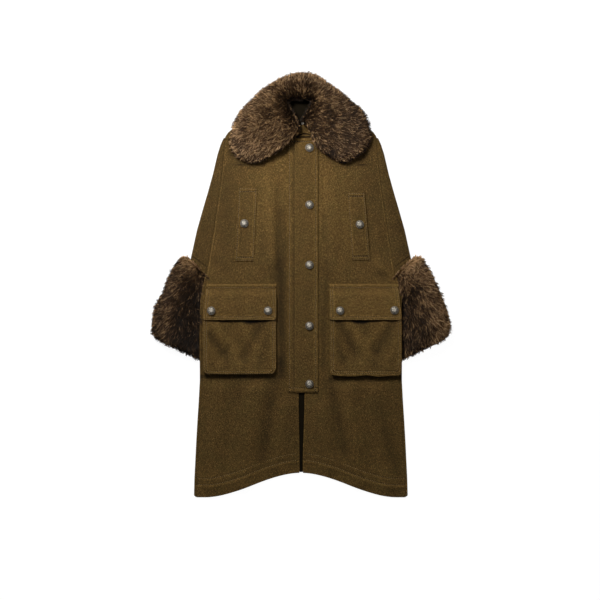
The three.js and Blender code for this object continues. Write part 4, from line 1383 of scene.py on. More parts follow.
@dataclass(frozen=True)
class Pocket:
    """One bellows pocket: the sagging face, the folded bellows and the buttoned flap."""

    side: Side
    inner: float
    outer: float
    flap_outer_top: float
    creases: tuple[tuple[float, ...], ...]
    top: float = -28.0
    bottom: float = -233.0
    corner: float = 14.0
    rim_top: float = 3.5
    rim_bottom: float = 10.0
    rim_flat: float = 11.0
    rim_fall: float = 62.0
    sag: float = 1.0
    flap_top: float = 2.6
    flap_bottom: float = -91.0
    face_long: float = 205.0
    overhang: float = 0.6
    flap_wide: float = 185.0
    flap_long: float = 93.6
    flap_sag: float = 1.6
    flap_corner: float = 8.0
    flap_rows: tuple[tuple[float, float, float], ...] = (
        (0, 0, 2.4), (2, 0, 4.4), (5, 0, 5.2), (8, 0, 5.0), (12, 0.2, 2.9), (18, 2.2, 3),
        (28, 6.6, 3), (50, 8, 3), (74, 8.7, 3), (89, 9, 3), (93.6, 9.2, 2.6))
    bellows: tuple[tuple[float, float], ...] = (
        (0, 0), (0, 0.18), (2.6, 0.34), (4.6, 0.5), (2.6, 0.66), (0, 0.82), (0, 1))

    def rim(self, y: Array) -> Array:
        """Height of the bellows at y."""
        up = np.clip((y - self.bottom) / (self.top - self.bottom), 0, 1)
        return mix(self.rim_bottom, self.rim_top, up)

    def corner_inset(self, y: Array) -> Array:
        """How far the rounded lower corner draws the edge in."""
        return rounded(y - self.bottom, self.corner)

    def from_rim(self, x: Array, y: Array) -> Array:
        """Distance in from the pocket face's side and lower edges."""
        across, inset = np.abs(x), self.corner_inset(y)
        sides = np.minimum(across - self.inner - inset, self.outer - inset - across)
        return np.minimum(sides, y - self.bottom)

    def face_top(self, x: Array, y: Array) -> Array:
        """Height of the pocket face's upper side."""
        from_rim = self.from_rim(x, y)
        fall = smooth((from_rim - self.rim_flat) / self.rim_fall)
        height = mix(self.rim(y), self.sag, fall)
        soft = ridges(self.creases, x, y) + 0.3 * wander(x, y, 46, 31) + 0.3 * wander(x, y, 90, 14)
        soft = soft * smooth((from_rim - 4) / 14)
        stitched = 0.45 * groove(from_rim, 3.4, 1.1) + 0.5 * groove(from_rim, 9.0, 1.2)
        return smooth_front(x, y) + np.maximum(height + soft, 0.4) + CLOTH - stitched

    def tone(self, x: Array, y: Array) -> Array:
        """Painted light and shade on the pocket face, with a painted shadow under the flap."""
        # Painted highlight along the rim and on the swells, painted shade in the hollows; the
        # flap's painted shadow is widest where the face gapes.
        share = np.clip((np.abs(x) - self.inner) / 186, 0, 1)
        gape = 0.43 if self.side is Side.RIGHT else 0.36
        middle = bell((share - gape) / 0.13)
        if self.side is Side.LEFT:
            middle = middle + 0.4 * bell((share - 0.75) / 0.08)
        under = y - self.flap_bottom + 1.5 + 3.2 * middle
        rim = 0.26 * (1 - smooth((self.from_rim(x, y) - 7) / 4))
        return (rim + 0.21 * ridges(self.creases, x, y) + 0.06 * wander(x, y, 46, 31)
                - 2.2 * bell(under / (1.6 + 4.2 * middle)))

    def flap_painted_light(self, x: Array, y: Array) -> Array:
        """Painted light on the flap, more on the right one, with highlights on its rolled edges."""
        share = self.flap_share(x, y)
        end = np.minimum(np.minimum(share, 1 - share) * self.flap_wide, y - self.flap_bottom)
        level = 0.31 + 0.11 * self.side.value
        return level + 0.12 * (1 - smooth((end - 7) / 3)) + 0.08 * wander(x, y, 52, 17)

    def face(self, u: Array, v: Array) -> Laid:
        """The pocket face's points.

        Args:
            u: shares across.
            v: shares along.

        Returns:
            The x, y, underside and top.
        """
        hang = 3.2 * self.side.value - 0.3 - 1.5 * np.cos(12.4 * u + 0.2) + 0.5 * np.sin(u * 21)
        y = mix(self.bottom, self.top, v)
        inset = self.corner_inset(y)
        y = y - hang * (1 - v) ** 3
        across = mix(self.inner + inset, self.outer - inset, u)
        x = self.side.value * across
        edge = np.minimum(np.minimum(u, 1 - u) * (self.outer - self.inner),
                          v * self.face_long)
        turned = rolled(edge, 1.2)
        top = self.face_top(x, y)
        return x, y, top - CLOTH + turned, top - turned

    def flap_outer(self, down: Array) -> Array:
        """The flap's outer edge at a share down it."""
        return mix(self.flap_outer_top, self.outer + self.overhang, down)

    def flap_share(self, x: Array, y: Array) -> Array:
        """The share across the flap at x, y."""
        outer = self.flap_outer((self.flap_top - y) / (self.flap_top - self.flap_bottom))
        return (np.abs(x) - self.inner + self.overhang) / (outer - self.inner + self.overhang)

    def flap_under(self, x: Array, y: Array) -> Array:
        """Height of the flap's underside."""
        down = self.flap_top - y
        share = np.clip(self.flap_share(x, y), 0, 1)
        loose = smooth((down - 12) / 30)
        sag = self.flap_sag * loose * np.sin(math.pi * share) ** 2
        wave = 0.5 * loose * np.sin(share * 9.4 + self.inner) * smooth(down / 60)
        return smooth_front(x, y) + GAP + read(self.flap_rows, down, 1) - sag + wave

    def flap_surface(self, x: Array, y: Array) -> Array:
        """Height of the flap's upper face."""
        down = self.flap_top - y
        share = self.flap_share(x, y)
        side = np.minimum(share, 1 - share) * self.flap_wide
        end = np.minimum(side, y - self.flap_bottom)
        stitched = 0.35 * groove(end, 2.8, 1.0) + 0.5 * groove(end, 8.4, 1.2)
        stitched = stitched * smooth((down - 12) / 6) + 0.62 * groove(down, 9.0, 1.3)
        soft = 0.35 * wander(x, y, 52, 17) * smooth((down - 16) / 20)
        return self.flap_under(x, y) + read(self.flap_rows, down, 2) - stitched + soft

    def flap(self, u: Array, v: Array) -> Laid:
        """The flap's points, v running down from its seam.

        Args:
            u: shares across.
            v: shares along.

        Returns:
            The x, y, underside and top.
        """
        y = mix(self.flap_top, self.flap_bottom, v)
        inset = rounded((1 - v) * self.flap_long, self.flap_corner)
        inner = self.inner - self.overhang + inset
        x = self.side.value * mix(inner, self.flap_outer(v) - inset, u)
        edge = np.minimum(np.minimum(u, 1 - u) * self.flap_wide, (1 - v) * self.flap_long)
        turned = rolled(edge, 1.3)
        under = self.flap_under(x, y)
        return x, y, under + turned * 0.8, self.flap_surface(x, y) - turned

    def bellows_ring(self, u: Array, v: Array, inset: float) -> Points:
        """The bellows' points: u up its folded section, v round the pocket.

        Args:
            u: shares up the fold.
            v: shares round the pocket.
            inset: how far in from the outer face.

        Returns:
            The x, y and z of each point.
        """
        radius = self.corner - 1.6
        low = self.bottom + 1.6
        west, east = self.inner + 1.6, self.outer - 1.6
        side_run = self.top - 4 - low - radius
        turn_run = math.pi / 2 * radius
        floor_run = east - west - 2 * radius
        stops = np.cumsum([0, side_run, turn_run, floor_run, turn_run, side_run])
        s = v * stops[-1]
        a = np.clip((s - stops[1]) / turn_run, 0, 1) * math.pi / 2
        b = np.clip((s - stops[3]) / turn_run, 0, 1) * math.pi / 2
        turn = a + b
        x = west + radius * (1 - np.cos(a)) + np.clip(s - stops[2], 0, floor_run)
        x = x + radius * np.sin(b)
        y = self.top - 4 - np.clip(s, 0, side_run) - radius * np.sin(a) + radius * (1 - np.cos(b))
        y = y + np.clip(s - stops[4], 0, side_run)
        nx, ny = np.cos(turn), np.sin(turn)
        inward = spread([p[0] for p in self.bellows], u) + inset
        share = spread([p[1] for p in self.bellows], u)
        x, y = self.side.value * (x + inward * nx), y + inward * ny
        return x, y, smooth_front(x, y) + GAP + (self.rim(y) - 2 * GAP) * share

    def flap_lines(self) -> list[list[tuple[float, float]]]:
        """The flap's rows of stitching: two round its free edges and one under its seam."""
        lines = []
        for inset in (2.8, 8.4):
            low, near = self.flap_long - inset, inset / self.flap_wide
            down = np.linspace(14, low, 12)
            left = [self.flap_point(near, d) for d in down]
            right = [self.flap_point(1 - near, d) for d in down[::-1]]
            base = [self.flap_point(s, low) for s in np.linspace(near, 1 - near, 20)]
            lines.append(left + base + right)
        lines.append([self.flap_point(s, 9.0) for s in np.linspace(0.02, 0.98, 20)])
        return lines

    def flap_point(self, share: float, down: float) -> tuple[float, float]:
        """The flap's x, y at a share across and a distance down.

        Args:
            share: the share across.
            down: the distance down from the seam.

        Returns:
            The x and y.
        """
        outer = self.flap_outer(down / self.flap_long)
        x = self.side.value * mix(self.inner - self.overhang, outer, share)
        return float(x), self.flap_top - float(down)

    def face_lines(self) -> list[list[tuple[float, float]]]:
        """The face's two rows of stitching along its folded edge."""
        rows = []
        for inset in (3.4, 9.0):
            radius = self.corner - inset / 2
            west, east, low = self.inner + inset, self.outer - inset, self.bottom + inset
            points = [(west, self.flap_bottom + 4), (west, low + radius)]
            points += [(west + radius * (1 - math.cos(t)), low + radius * (1 - math.sin(t)))
                       for t in np.linspace(0, math.pi / 2, 7)]
            points += [(east - radius * (1 - math.sin(t)), low + radius * (1 - math.cos(t)))
                       for t in np.linspace(0, math.pi / 2, 7)]
            points.append((east, self.flap_bottom + 4))
            rows.append([(self.side.value * x, y) for x, y in points])
        return rows

    def build(self, cloths: Cloths) -> None:
        name = self.side.word
        width = self.outer - self.inner
        face = cloth("pocket_face", spaced(width, 3.0, (3.4, 9.0, width - 9.0, width - 3.4)),
                     spaced(self.face_long, 3.0, (3.4, 9.0)), self.face, self.tone)
        piece = put_in_scene(f"pocket_face_{name}", face, cloths.trim)
        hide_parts(f"pocket_{name}_face")
        thread = put_in_scene(f"topstitch_pocket_{name}", Stitching().sew(
            "pocket_stitches", self.face_lines(), self.face_top), cloths.thread)
        fold = wall("bellows", np.linspace(0, 1, 13), np.linspace(0, 1, 150),
                    lambda u, v: self.bellows_ring(u, v, 0),
                    lambda u, v: self.bellows_ring(u, v, 1.8))
        gusset = put_in_scene(f"pocket_bellows_{name}", fold, cloths.loden)
        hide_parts(f"pocket_{name}_gusset")
        flap = cloth("flap", spaced(self.flap_wide, 3.0, (2.8, 8.4, 176.6, 182.2)),
                     spaced(self.flap_long, 2.6, (3.0, 9.0, 85.2, 90.8)), self.flap,
                     self.flap_painted_light)
        cover = put_in_scene(f"pocket_flap_{name}", flap, cloths.trim)
        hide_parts(f"pocket_{name}_flap")
        seam = put_in_scene(f"topstitch_flap_{name}", Stitching().sew(
            "flap_stitches", self.flap_lines(), self.flap_surface), cloths.thread)


# --- Fur ---
@dataclass(frozen=True)
class Pelt:
    """Guard hairs over a surface: fine tapered blades that lie along a flow, loosely clumped.

    hide and pile give the points of the skin and of the pile's reach at two shares. ahead gives the
    change of both shares along a hair, trim its relative length and glow its painted light and
    shade.
    """

    hide: Form
    pile: Form
    ahead: Callable[[Array, Array], tuple[Array, Array]]
    trim: Tone
    glow: Tone
    outline: Array
    hairs: int
    clumps: int
    seed: int
    span: tuple[float, float] = (0.0, 1.0)
    reach: tuple[float, float] = (0.0, 1.0)
    length: float = 24.0
    width: float = 0.42
    gather: float = 0.36
    sway: float = 0.60
    curl: float = 1.4
    ceiling: float = 56.0
    ground: float = 0.8
    fringe: float = 11.0
    guards: float = 0.11

    def scatter(self, count: int, dice: np.random.Generator) -> tuple[Array, Array]:
        """Spreads points evenly over the surface.

        Args:
            count: how many.
            dice: the source of chance.

        Returns:
            Their two shares.
        """
        nu, nv = 160, 60
        u = np.linspace(*self.span, nu + 1)
        v = np.linspace(*self.reach, nv + 1)
        grid = np.stack(self.pile(*np.meshgrid(u, v, indexing="ij")), 2)
        a = grid[1:, :-1] - grid[:-1, :-1]
        b = grid[:-1, 1:] - grid[:-1, :-1]
        area = np.linalg.norm(np.cross(a, b), axis=2).ravel()
        cell = dice.choice(len(area), count, p=area / area.sum())
        i, j = cell // nv, cell % nv
        du, dv = (u[1] - u[0]), (v[1] - v[0])
        return u[i] + dice.random(count) * du, v[j] + dice.random(count) * dv

    def heading(self, u: Array, v: Array, turn: Array) -> Array:
        """The flow's unit direction at two shares, turned aside by an angle.

        Args:
            u: shares across.
            v: shares along.
            turn: angles to turn aside by.

        Returns:
            One unit arrow for each point.
        """
        du, dv = self.ahead(u, v)
        step = unit(np.stack(self.pile(u + du, v + dv), 1) - np.stack(self.pile(u, v), 1))
        side = unit(np.cross(step, np.array([0, 0, 1.0])))
        return step * np.cos(turn)[:, None] + side * np.sin(turn)[:, None]

    def hold(self, tip: Array, slack: Array) -> tuple[Array, Array]:
        """Draws the hair tips that reach too far outside the outline back towards it.

        Args:
            tip: the tips.
            slack: how far outside each may stay.

        Returns:
            The held tips, and which of them were outside.
        """
        ring = self.outline
        after = np.roll(ring, -1, axis=0)
        x, y = tip[:, :1], tip[:, 1:2]
        crosses = (ring[None, :, 1] > y) != (after[None, :, 1] > y)
        at = ring[None, :, 0] + (y - ring[None, :, 1]) * (after[None, :, 0] - ring[None, :, 0]) / (
            after[None, :, 1] - ring[None, :, 1] + 1e-9)
        outside = (np.sum(crosses & (x < at), axis=1) % 2) == 0
        close = np.concatenate([mix(ring, after, k / 12) for k in range(12)])
        tree = tree_of(np.pad(close, ((0, 0), (0, 1))))
        held = tip.copy()
        for i in np.nonzero(outside)[0]:
            edge, _, gap = tree.find((tip[i, 0], tip[i, 1], 0))
            share = min(1.0, slack[i] / max(gap, 1e-6))
            held[i, 0] = edge.x + (tip[i, 0] - edge.x) * share
            held[i, 1] = edge.y + (tip[i, 1] - edge.y) * share
        return held, outside

    def mesh(self, name: str) -> bpy.types.Mesh:
        """Grows the hairs as one mesh with a tone attribute.

        Args:
            name: the mesh's name.

        Returns:
            The mesh, five triangles for each hair.
        """
        dice = np.random.default_rng(self.seed)
        cu, cv = self.scatter(self.clumps, dice)
        centres = np.stack(self.pile(cu, cv), 1)
        tree = tree_of(centres)
        stretch = dice.uniform(0.72, 1.2, self.clumps)
        shade = dice.normal(0, 0.08, self.clumps)
        tuft = np.where(dice.random(self.clumps) < 0.32, dice.uniform(0.55, 1.0, self.clumps),
                        dice.uniform(0.0, 0.3, self.clumps))
        eddy = 0.6 * wander(centres[:, 0], centres[:, 1], 70, self.seed)
        clump_head = self.heading(cu, cv, eddy + dice.normal(0, self.sway, self.clumps))
        reach = self.length * 0.75 * stretch * self.trim(cu, cv)
        clump_tip = centres + clump_head * reach[:, None]

        count = self.hairs
        u, v = self.scatter(count, dice)
        root = np.stack(self.hide(u, v), 1)
        over = np.stack(self.pile(u, v), 1)
        nearest = np.array([tree.find(p)[1:] for p in over])
        mine, away = nearest[:, 0].astype(int), nearest[:, 1]
        eddy = 0.6 * wander(over[:, 0], over[:, 1], 70, self.seed)
        head = self.heading(u, v, eddy + dice.normal(0, 0.3, count))
        blend = clump_head[mine] * 0.6 + head * 0.4
        long = self.length * stretch[mine] * dice.uniform(0.6, 1.12, count) * self.trim(u, v)
        guard = dice.random(count) < self.guards
        long = long * np.where(guard, 1.12, 1.0)
        tip = over + blend * (0.75 * long)[:, None]
        pull = self.gather * dice.uniform(0.3, 1.0, count)[:, None]
        tip = mix(tip, clump_tip[mine], pull)
        tip[:, 2] += dice.normal(0.0, 1.5, count) + np.where(guard, 2.2, 0)
        tip, rim = self.hold(tip, self.fringe * tuft[mine] * dice.uniform(0.6, 1.0, count) + 0.2)
        middle = mix(root, over, 0.95) + blend * (0.24 * long)[:, None]
        middle = self.hold(middle, 3.0 * tuft[mine] + 0.2)[0]
        for end in (tip, middle):
            end[:, 2] = np.clip(end[:, 2], self.ground, self.ceiling)

        t = np.array([0.0, 0.38, 0.72, 1.0])[None, :, None]
        wide = np.array([0.9, 1.0, 0.7, 0.0])[None, :, None]
        line = ((1 - t) ** 2 * root[:, None] + 2 * t * (1 - t) * middle[:, None]
                + t**2 * tip[:, None])
        up = np.stack([dice.normal(0, 0.5, count), dice.normal(0, 0.5, count), np.ones(count)], 1)
        flat = unit(np.cross(tip - root, up))
        bow = np.array([0, 0.7, -0.6, 0.5])[None, :, None]
        wave = self.curl * dice.normal(0, 1, (count, 1, 1)) * bow
        line = line + flat[:, None] * wave * smooth(long / 12)[:, None, None]
        half = 0.5 * self.width * dice.uniform(0.6, 1.25, count) * np.where(guard, 1.75, 1.0)
        wide = wide + np.array([0, 0.1, 0.3, 0])[None, :, None] * rim[:, None, None]
        half = (half * np.where(rim, 1.5, 1.0))[:, None, None] * wide
        left, right = line - flat[:, None] * half, line + flat[:, None] * half
        points = np.concatenate([left[:, :3], right[:, :3], line[:, 3:]], 1)
        base = np.array([[0, 3, 4], [0, 4, 1], [1, 4, 5], [1, 5, 2], [2, 5, 6]])
        faces = base[None] + (np.arange(count) * 7)[:, None, None]
        mesh = mesh_from_arrays(name, points.reshape(-1, 3), faces.reshape(-1, 3))

        patch = 0.12 * wander(over[:, 0], over[:, 1], 42, self.seed + 5)
        # Glow adds painted light and shade; hairs far from their clump's centre get painted shade.
        own = shade[mine] + patch + dice.normal(0, 0.24, count) + self.glow(u, v)
        own = own + np.where(guard, 0.50, 0) - 0.18 * np.clip(away / 2.6, 0, 1) - 0.11
        ramp = np.array([0.0, 0.22, 0.40, 0.52])[None, :]
        tone = ramp + own[:, None] * np.array([0.1, 0.7, 1.1, 1.3])[None, :]
        tone = np.concatenate([tone[:, :3], tone[:, :3], tone[:, 3:]], 1)
        store_tone(mesh, tone, 0, 1)
        return mesh


@dataclass(frozen=True)
class Collar:
    """The fur collar: one horseshoe round the neck with two rounded front ends."""

    inner_x: tuple[float, ...] = (
        -2, -2.5, -3.5, -5, -7, -9.5, -12.5, -16, -20, -26, -32, -33.5, -26, -12, 1, 14, 24, 29,
        23, 16.5, 11, 6, 3, 1.5, 4, 9.5, 14.5, 18.5)
    inner_y: tuple[float, ...] = (
        404, 408, 412, 416, 420, 425, 431, 440, 448.5, 457.5, 466, 473, 477, 478, 478, 478,
        477, 472, 464, 455, 446, 436, 428, 422, 419, 418, 417, 414)
    outer_x: tuple[float, ...] = (
        -9, -24, -48, -86, -124, -156, -179, -183, -176, -162, -139, -105, -62, -27, 5, 38, 72,
        106, 134, 158, 175, 180, 168, 145, 117, 76, 49, 29)
    outer_y: tuple[float, ...] = (
        397, 381, 355, 331, 313, 324, 348, 376, 410, 443, 469, 501, 531, 545, 550, 544, 522, 496,
        474, 452, 422, 384, 347, 325, 313, 333, 353, 388)
    loft: tuple[float, ...] = (
        24, 34, 40, 43, 40, 43, 46, 48, 48, 48, 48, 46, 45, 44, 44, 44, 45, 46, 48, 48, 48, 48, 46,
        43, 40, 43, 40, 28)
    dome: tuple[tuple[float, float], ...] = (
        (0, 0.5), (0.04, 0.78), (0.14, 0.95), (0.32, 1), (0.52, 0.98), (0.7, 0.88), (0.85, 0.7),
        (0.95, 0.45), (1, 0.14))
    ragged: float = 1.5
    clear: float = 5.0
    hairs: int = 39000
    clumps: int = 7600

    def across(self, u: Array, v: Array) -> tuple[Array, Array]:
        """The collar's x, y at a share round the neck and a share out from its ragged edge.

        Args:
            u: shares round the neck.
            v: shares out from it.

        Returns:
            The x and y.
        """
        inner = flow(self.inner_x, u), flow(self.inner_y, u)
        outer = flow(self.outer_x, u), flow(self.outer_y, u)
        width = np.hypot(outer[0] - inner[0], outer[1] - inner[1]) + 1e-6
        ragged = self.ragged * (np.sin(u * 83) + np.sin(u * 137 + 2) + 0.6 * np.sin(u * 211))
        share = v + (1 - v) * ragged * np.sin(math.pi * np.clip(u, 0, 1)) / width
        return mix(inner[0], outer[0], share), mix(inner[1], outer[1], share)

    def floor(self, u: Array, v: Array) -> Array:
        """Height of what lies under the collar: the yokes, or the floor past the shoulders."""
        x, y = self.across(u, v)
        return np.where(y > back_top_line(x) + self.clear, 0.0, COLLAR_REST)

    def pile(self, u: Array, v: Array) -> Points:
        """The reach of the pile; past the outer edge it drops.

        Args:
            u: shares round the neck.
            v: shares out from it.

        Returns:
            The x, y and z of each point.
        """
        over = np.maximum(v - 1, 0)
        held = np.clip(v, 0, 1)
        x, y = self.across(u, held)
        ox, oy = self.across(u, np.ones_like(held))
        ix, iy = self.across(u, np.zeros_like(held))
        width = np.hypot(ox - ix, oy - iy) + 1e-6
        x = x + (ox - ix) * np.minimum(over, 10 / width)
        y = y + (oy - iy) * np.minimum(over, 10 / width)
        rise = read(self.dome, held)
        lumps = 1.8 * wander(x, y, 34, 41) * np.minimum(1, 4 * held)
        z = COLLAR_REST + (flow(self.loft, u) - COLLAR_REST) * rise + lumps
        return x, y, np.maximum(z - 60 * over, 5.0)

    def hide(self, u: Array, v: Array) -> Points:
        """The skin under the pile."""
        inset = mix(0.02, 0.93, v)
        x, y, z = self.pile(u, inset)
        return x, y, COLLAR_REST + 0.5 * (z - COLLAR_REST)

    def under(self, u: Array, v: Array) -> Points:
        """The collar's underside."""
        inset = mix(0.02, 0.93, v)
        x, y = self.across(u, inset)
        return x, y, self.floor(u, inset) + 0.4

    def build(self, cloths: Cloths) -> None:
        """Builds the collar's skin and its two halves of fur."""
        rows = np.linspace(0, 1, 150)
        skin = wall("collar_skin", np.linspace(0, 1, 40), rows,
                    lambda u, v: self.hide(v, u), lambda u, v: self.under(v, u))
        piece = put_in_scene("fur_collar", skin, cloths.hide)
        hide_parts("collar")

        def ahead(u: Array, v: Array) -> tuple[Array, Array]:
            """The hairs lie out from the neck, and fall into the throat at its edge."""
            return 0.0 * u, np.where(v < 0.03, -0.05, 0.05)

        def trim(u: Array, v: Array) -> Array:
            """The hairs are short at the neck and a little shorter at the outer edge."""
            ends = smooth(np.minimum(u, 1 - u) / 0.05)
            reach = mix(0.62, 1.0, smooth(v / 0.2)) * mix(1.0, 0.76, smooth((v - 0.8) / 0.2))
            return reach * mix(0.5, 1.0, ends)

        def glow(u: Array, v: Array) -> Array:
            """Painted shade behind the neck, at the lower edge, over the right half and in the
            throat.
            """
            behind = bell((u - 0.5) / 0.07) * (1 - smooth((v - 0.35) / 0.35))
            lower = smooth((v - 0.86) / 0.1) * (1 - smooth((np.minimum(u, 1 - u) - 0.2) / 0.08))
            right = smooth((u - 0.62) / 0.1)
            throat = np.where(u < 0.62, 0.55 * smooth((u - 0.2) / 0.06), 0.40)
            throat = np.maximum(throat, 0.22) * bell(v / 0.04)
            return 0.02 - 0.18 * behind - 0.10 * lower - 0.16 * right - throat

        u = np.linspace(0, 1, 140)
        lobes = smooth((0.22 - np.minimum(u, 1 - u)) / 0.08)
        rim = np.stack(self.across(u, 0.985 - 0.055 * lobes), 1)
        neck = np.stack(self.across(u[::-1], np.full_like(u, -0.05)), 1)
        for name, span, seed in (("left", (0.0, 0.5), 11), ("right", (0.5, 1.0), 12)):
            pelt = Pelt(self.hide, self.pile, ahead, trim, glow, np.concatenate([rim, neck]),
                        self.hairs, self.clumps, seed, span)
            put_in_scene(f"fur_collar_hair_{name}", pelt.mesh("collar_hair"), cloths.fur)


@dataclass(frozen=True)
class Cuff:
    """One fur cuff: a flattened ring whose inner end is tucked under the coat."""

    side: Side
    inner_x: tuple[float, ...] = (230.5, 231, 232, 232, 232, 232, 233, 234, 237)
    inner_y: tuple[float, ...] = (5, -6, -28, -58, -92, -126, -158, -187, -208)
    outer_x: tuple[float, ...] = (298, 314, 332, 347, 362, 377, 386, 386, 374)
    outer_y: tuple[float, ...] = (74, 72, 44, 12, -22, -58, -94, -124, -142)
    loft: tuple[float, ...] = (24, 34, 42, 46, 48, 48, 46, 38, 22)
    dome: tuple[tuple[float, float], ...] = (
        (0, 0.5), (0.08, 0.62), (0.22, 0.85), (0.42, 1), (0.62, 0.98), (0.8, 0.84), (0.93, 0.58),
        (1, 0.26))
    over_sleeve: float = 2.6
    fold: float = 0.6
    hairs: int = 39000
    clumps: int = 6600

    def across(self, u: Array, v: Array) -> tuple[Array, Array]:
        """The cuff's x, y at a share down the cuff and a share out from the coat."""
        x = mix(flow(self.inner_x, u), flow(self.outer_x, u), v)
        y = mix(flow(self.inner_y, u), flow(self.outer_y, u), v)
        return x, y

    def clearing(self, u: Array) -> Array:
        """The share at which the cuff comes out from under the coat."""
        found = []
        for row in np.linspace(0, 1, 9):
            v = np.linspace(0, 1, 201)
            x, y = self.across(np.full_like(v, row), v)
            out = x - body_edge(np.minimum(y, UNDERARM)) - 5 > 0
            found.append(v[np.argmax(out)])
        return spread(found, u)

    def top(self, u: Array, v: Array) -> Array:
        """Height of the pile, or of the tucked end under the coat."""
        x, y = self.across(u, v)
        start = self.clearing(u)
        loft = flow(self.loft, u)
        tucked = np.clip(lift(x, y) - 0.7, 2, loft * 0.5)
        out = (v - start) / (1 - start)
        rise = read(self.dome, out) * loft
        return np.where(v < start, tucked, np.maximum(rise, np.where(out < 0.5, tucked, 0)))

    def pile(self, u: Array, v: Array) -> Points:
        """The reach of the pile, past the cuff's lower end and its outer edge too.

        Args:
            u: shares down the cuff.
            v: shares out from the coat.

        Returns:
            The x, y and z of each point.
        """
        held_u, held_v = np.clip(u, 0, 1), np.clip(v, 0, 1)
        x, y = self.across(held_u, held_v)
        a, b = self.across(held_u, np.ones_like(held_v)), self.across(held_u, np.zeros_like(held_v))
        over = np.maximum(v - 1, 0)
        x, y = x + (a[0] - b[0]) * over, y + (a[1] - b[1]) * over
        past = u - held_u
        z = self.top(held_u, held_v) + 2.0 * wander(x, y, 36, 43) * smooth(4 * held_v)
        y = y - 300 * past
        sleeve = np.where(past < 0, FRONT_TOP + self.over_sleeve + lift(x, y), 4.0)
        return self.side.value * x, y, np.maximum(z - 60 * over - 120 * np.maximum(past, 0), sleeve)

    def hide(self, u: Array, v: Array) -> Points:
        """The skin under the pile."""
        row, inset = mix(0.012, 0.95, u), mix(0.0, 0.94, v)
        x, y, z = self.pile(row, inset)
        start = self.clearing(row)
        return x, y, np.where(inset < start, z, np.maximum(0.55 * z, np.minimum(z, 9.0)))

    def round_share(self, u: Array) -> Array:
        """The share out from the coat at a share round the ring: out on top, back below."""
        return np.where(u < self.fold, u / self.fold, (1 - u) / (1 - self.fold))

    def outside(self, u: Array, v: Array) -> Points:
        """The ring's outer face: u round the ring, v down the cuff from inside the sleeve."""
        share = self.round_share(u)
        tuck = 0.045 * (1 - smooth((share - 0.55) / 0.2))
        x, y, z = self.hide(mix(-tuck, 1, v), share)
        z = np.where(v < 0.03, np.minimum(z, FRONT_TOP + lift(x, y) - 5), z)
        return x, y, np.where(u < self.fold, z, 0.4)

    def inside(self, u: Array, v: Array) -> Points:
        """The ring's inner face, the flattened way through the cuff."""
        share = self.round_share(u)
        x, y, z = self.hide(v, mix(0.1, 0.92, share))
        level = np.minimum(0.4 * z, 12)
        return x, y, level + np.where(u < self.fold, 1.2, -1.2)

    def build(self, cloths: Cloths) -> None:
        """Builds the cuff's skin and its fur."""
        name = self.side.word
        columns = np.concatenate([np.linspace(0, 0.598, 44), np.linspace(0.602, 0.995, 20)])
        skin = wall("cuff_skin", columns, np.linspace(0, 1, 60), self.outside, self.inside)
        piece = put_in_scene(f"fur_cuff_{name}", skin, cloths.hide)
        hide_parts(f"cuff_{name}")

        def ahead(u: Array, v: Array) -> tuple[Array, Array]:
            """The hairs lie down the cuff and out from the coat, and up at its upper edge."""
            return np.where(u < 0.01, -0.016, 0.035), 0.05 * (v - 0.35)

        def trim(u: Array, v: Array) -> Array:
            """The hairs are short at the two ends of the cuff."""
            ends = mix(0.35, 1.0, smooth((u + 0.03) / 0.16))
            ends = ends * mix(1.0, 0.6, smooth((u - 0.8) / 0.2))
            hidden = np.where(u < 0.01, 0.75 * smooth((v - 0.24) / 0.14), 1.0)
            return ends * hidden * mix(1.0, 0.62, smooth((v - 0.85) / 0.15))

        def glow(u: Array, v: Array) -> Array:
            """Painted light on the upper end, outer edge and right cuff; painted shade inside by
            the coat.
            """
            inside = smooth((u - 0.12) / 0.25) * (1 - smooth((v - 0.5) / 0.25))
            top = (1 - smooth((u - 0.03) / 0.15)) * smooth((v - 0.42) / 0.3)
            outer = 0.03 * smooth((v - 0.6) / 0.25)
            near = (1 - smooth((u - 0.04) / 0.12)) * (1 - smooth((v - 0.42) / 0.3))
            edge = bell(u / 0.035) * (1 - smooth((v - 0.6) / 0.3))
            return (0.72 * top + 0.22 * near + 0.28 * edge + outer - 0.34 * inside
                    + 0.13 * self.side.value - 0.02)

        t = np.linspace(0, 1, 70)
        ring = [self.across(t, np.ones_like(t)), self.across(np.ones_like(t), 1 - t),
                self.across(1 - t, np.zeros_like(t)), self.across(np.zeros_like(t), t)]
        outline = np.concatenate([np.stack(part, 1) for part in ring])
        middle = outline.mean(axis=0)
        outline = middle + (outline - middle) * 0.985
        covered = smooth((290 - outline[:, 0]) / 18) * (outline[:, 1] > -4)
        outline[:, 1] += 11 * covered
        outline[:, 0] *= self.side.value
        pelt = Pelt(self.hide, self.pile, ahead, trim, glow, outline, self.hairs, self.clumps,
                    seed=21 + self.side.value, span=(-0.028, 1.0), reach=(0.1, 1.0))
        put_in_scene(f"fur_cuff_hair_{name}", pelt.mesh("cuff_hair"), cloths.fur)


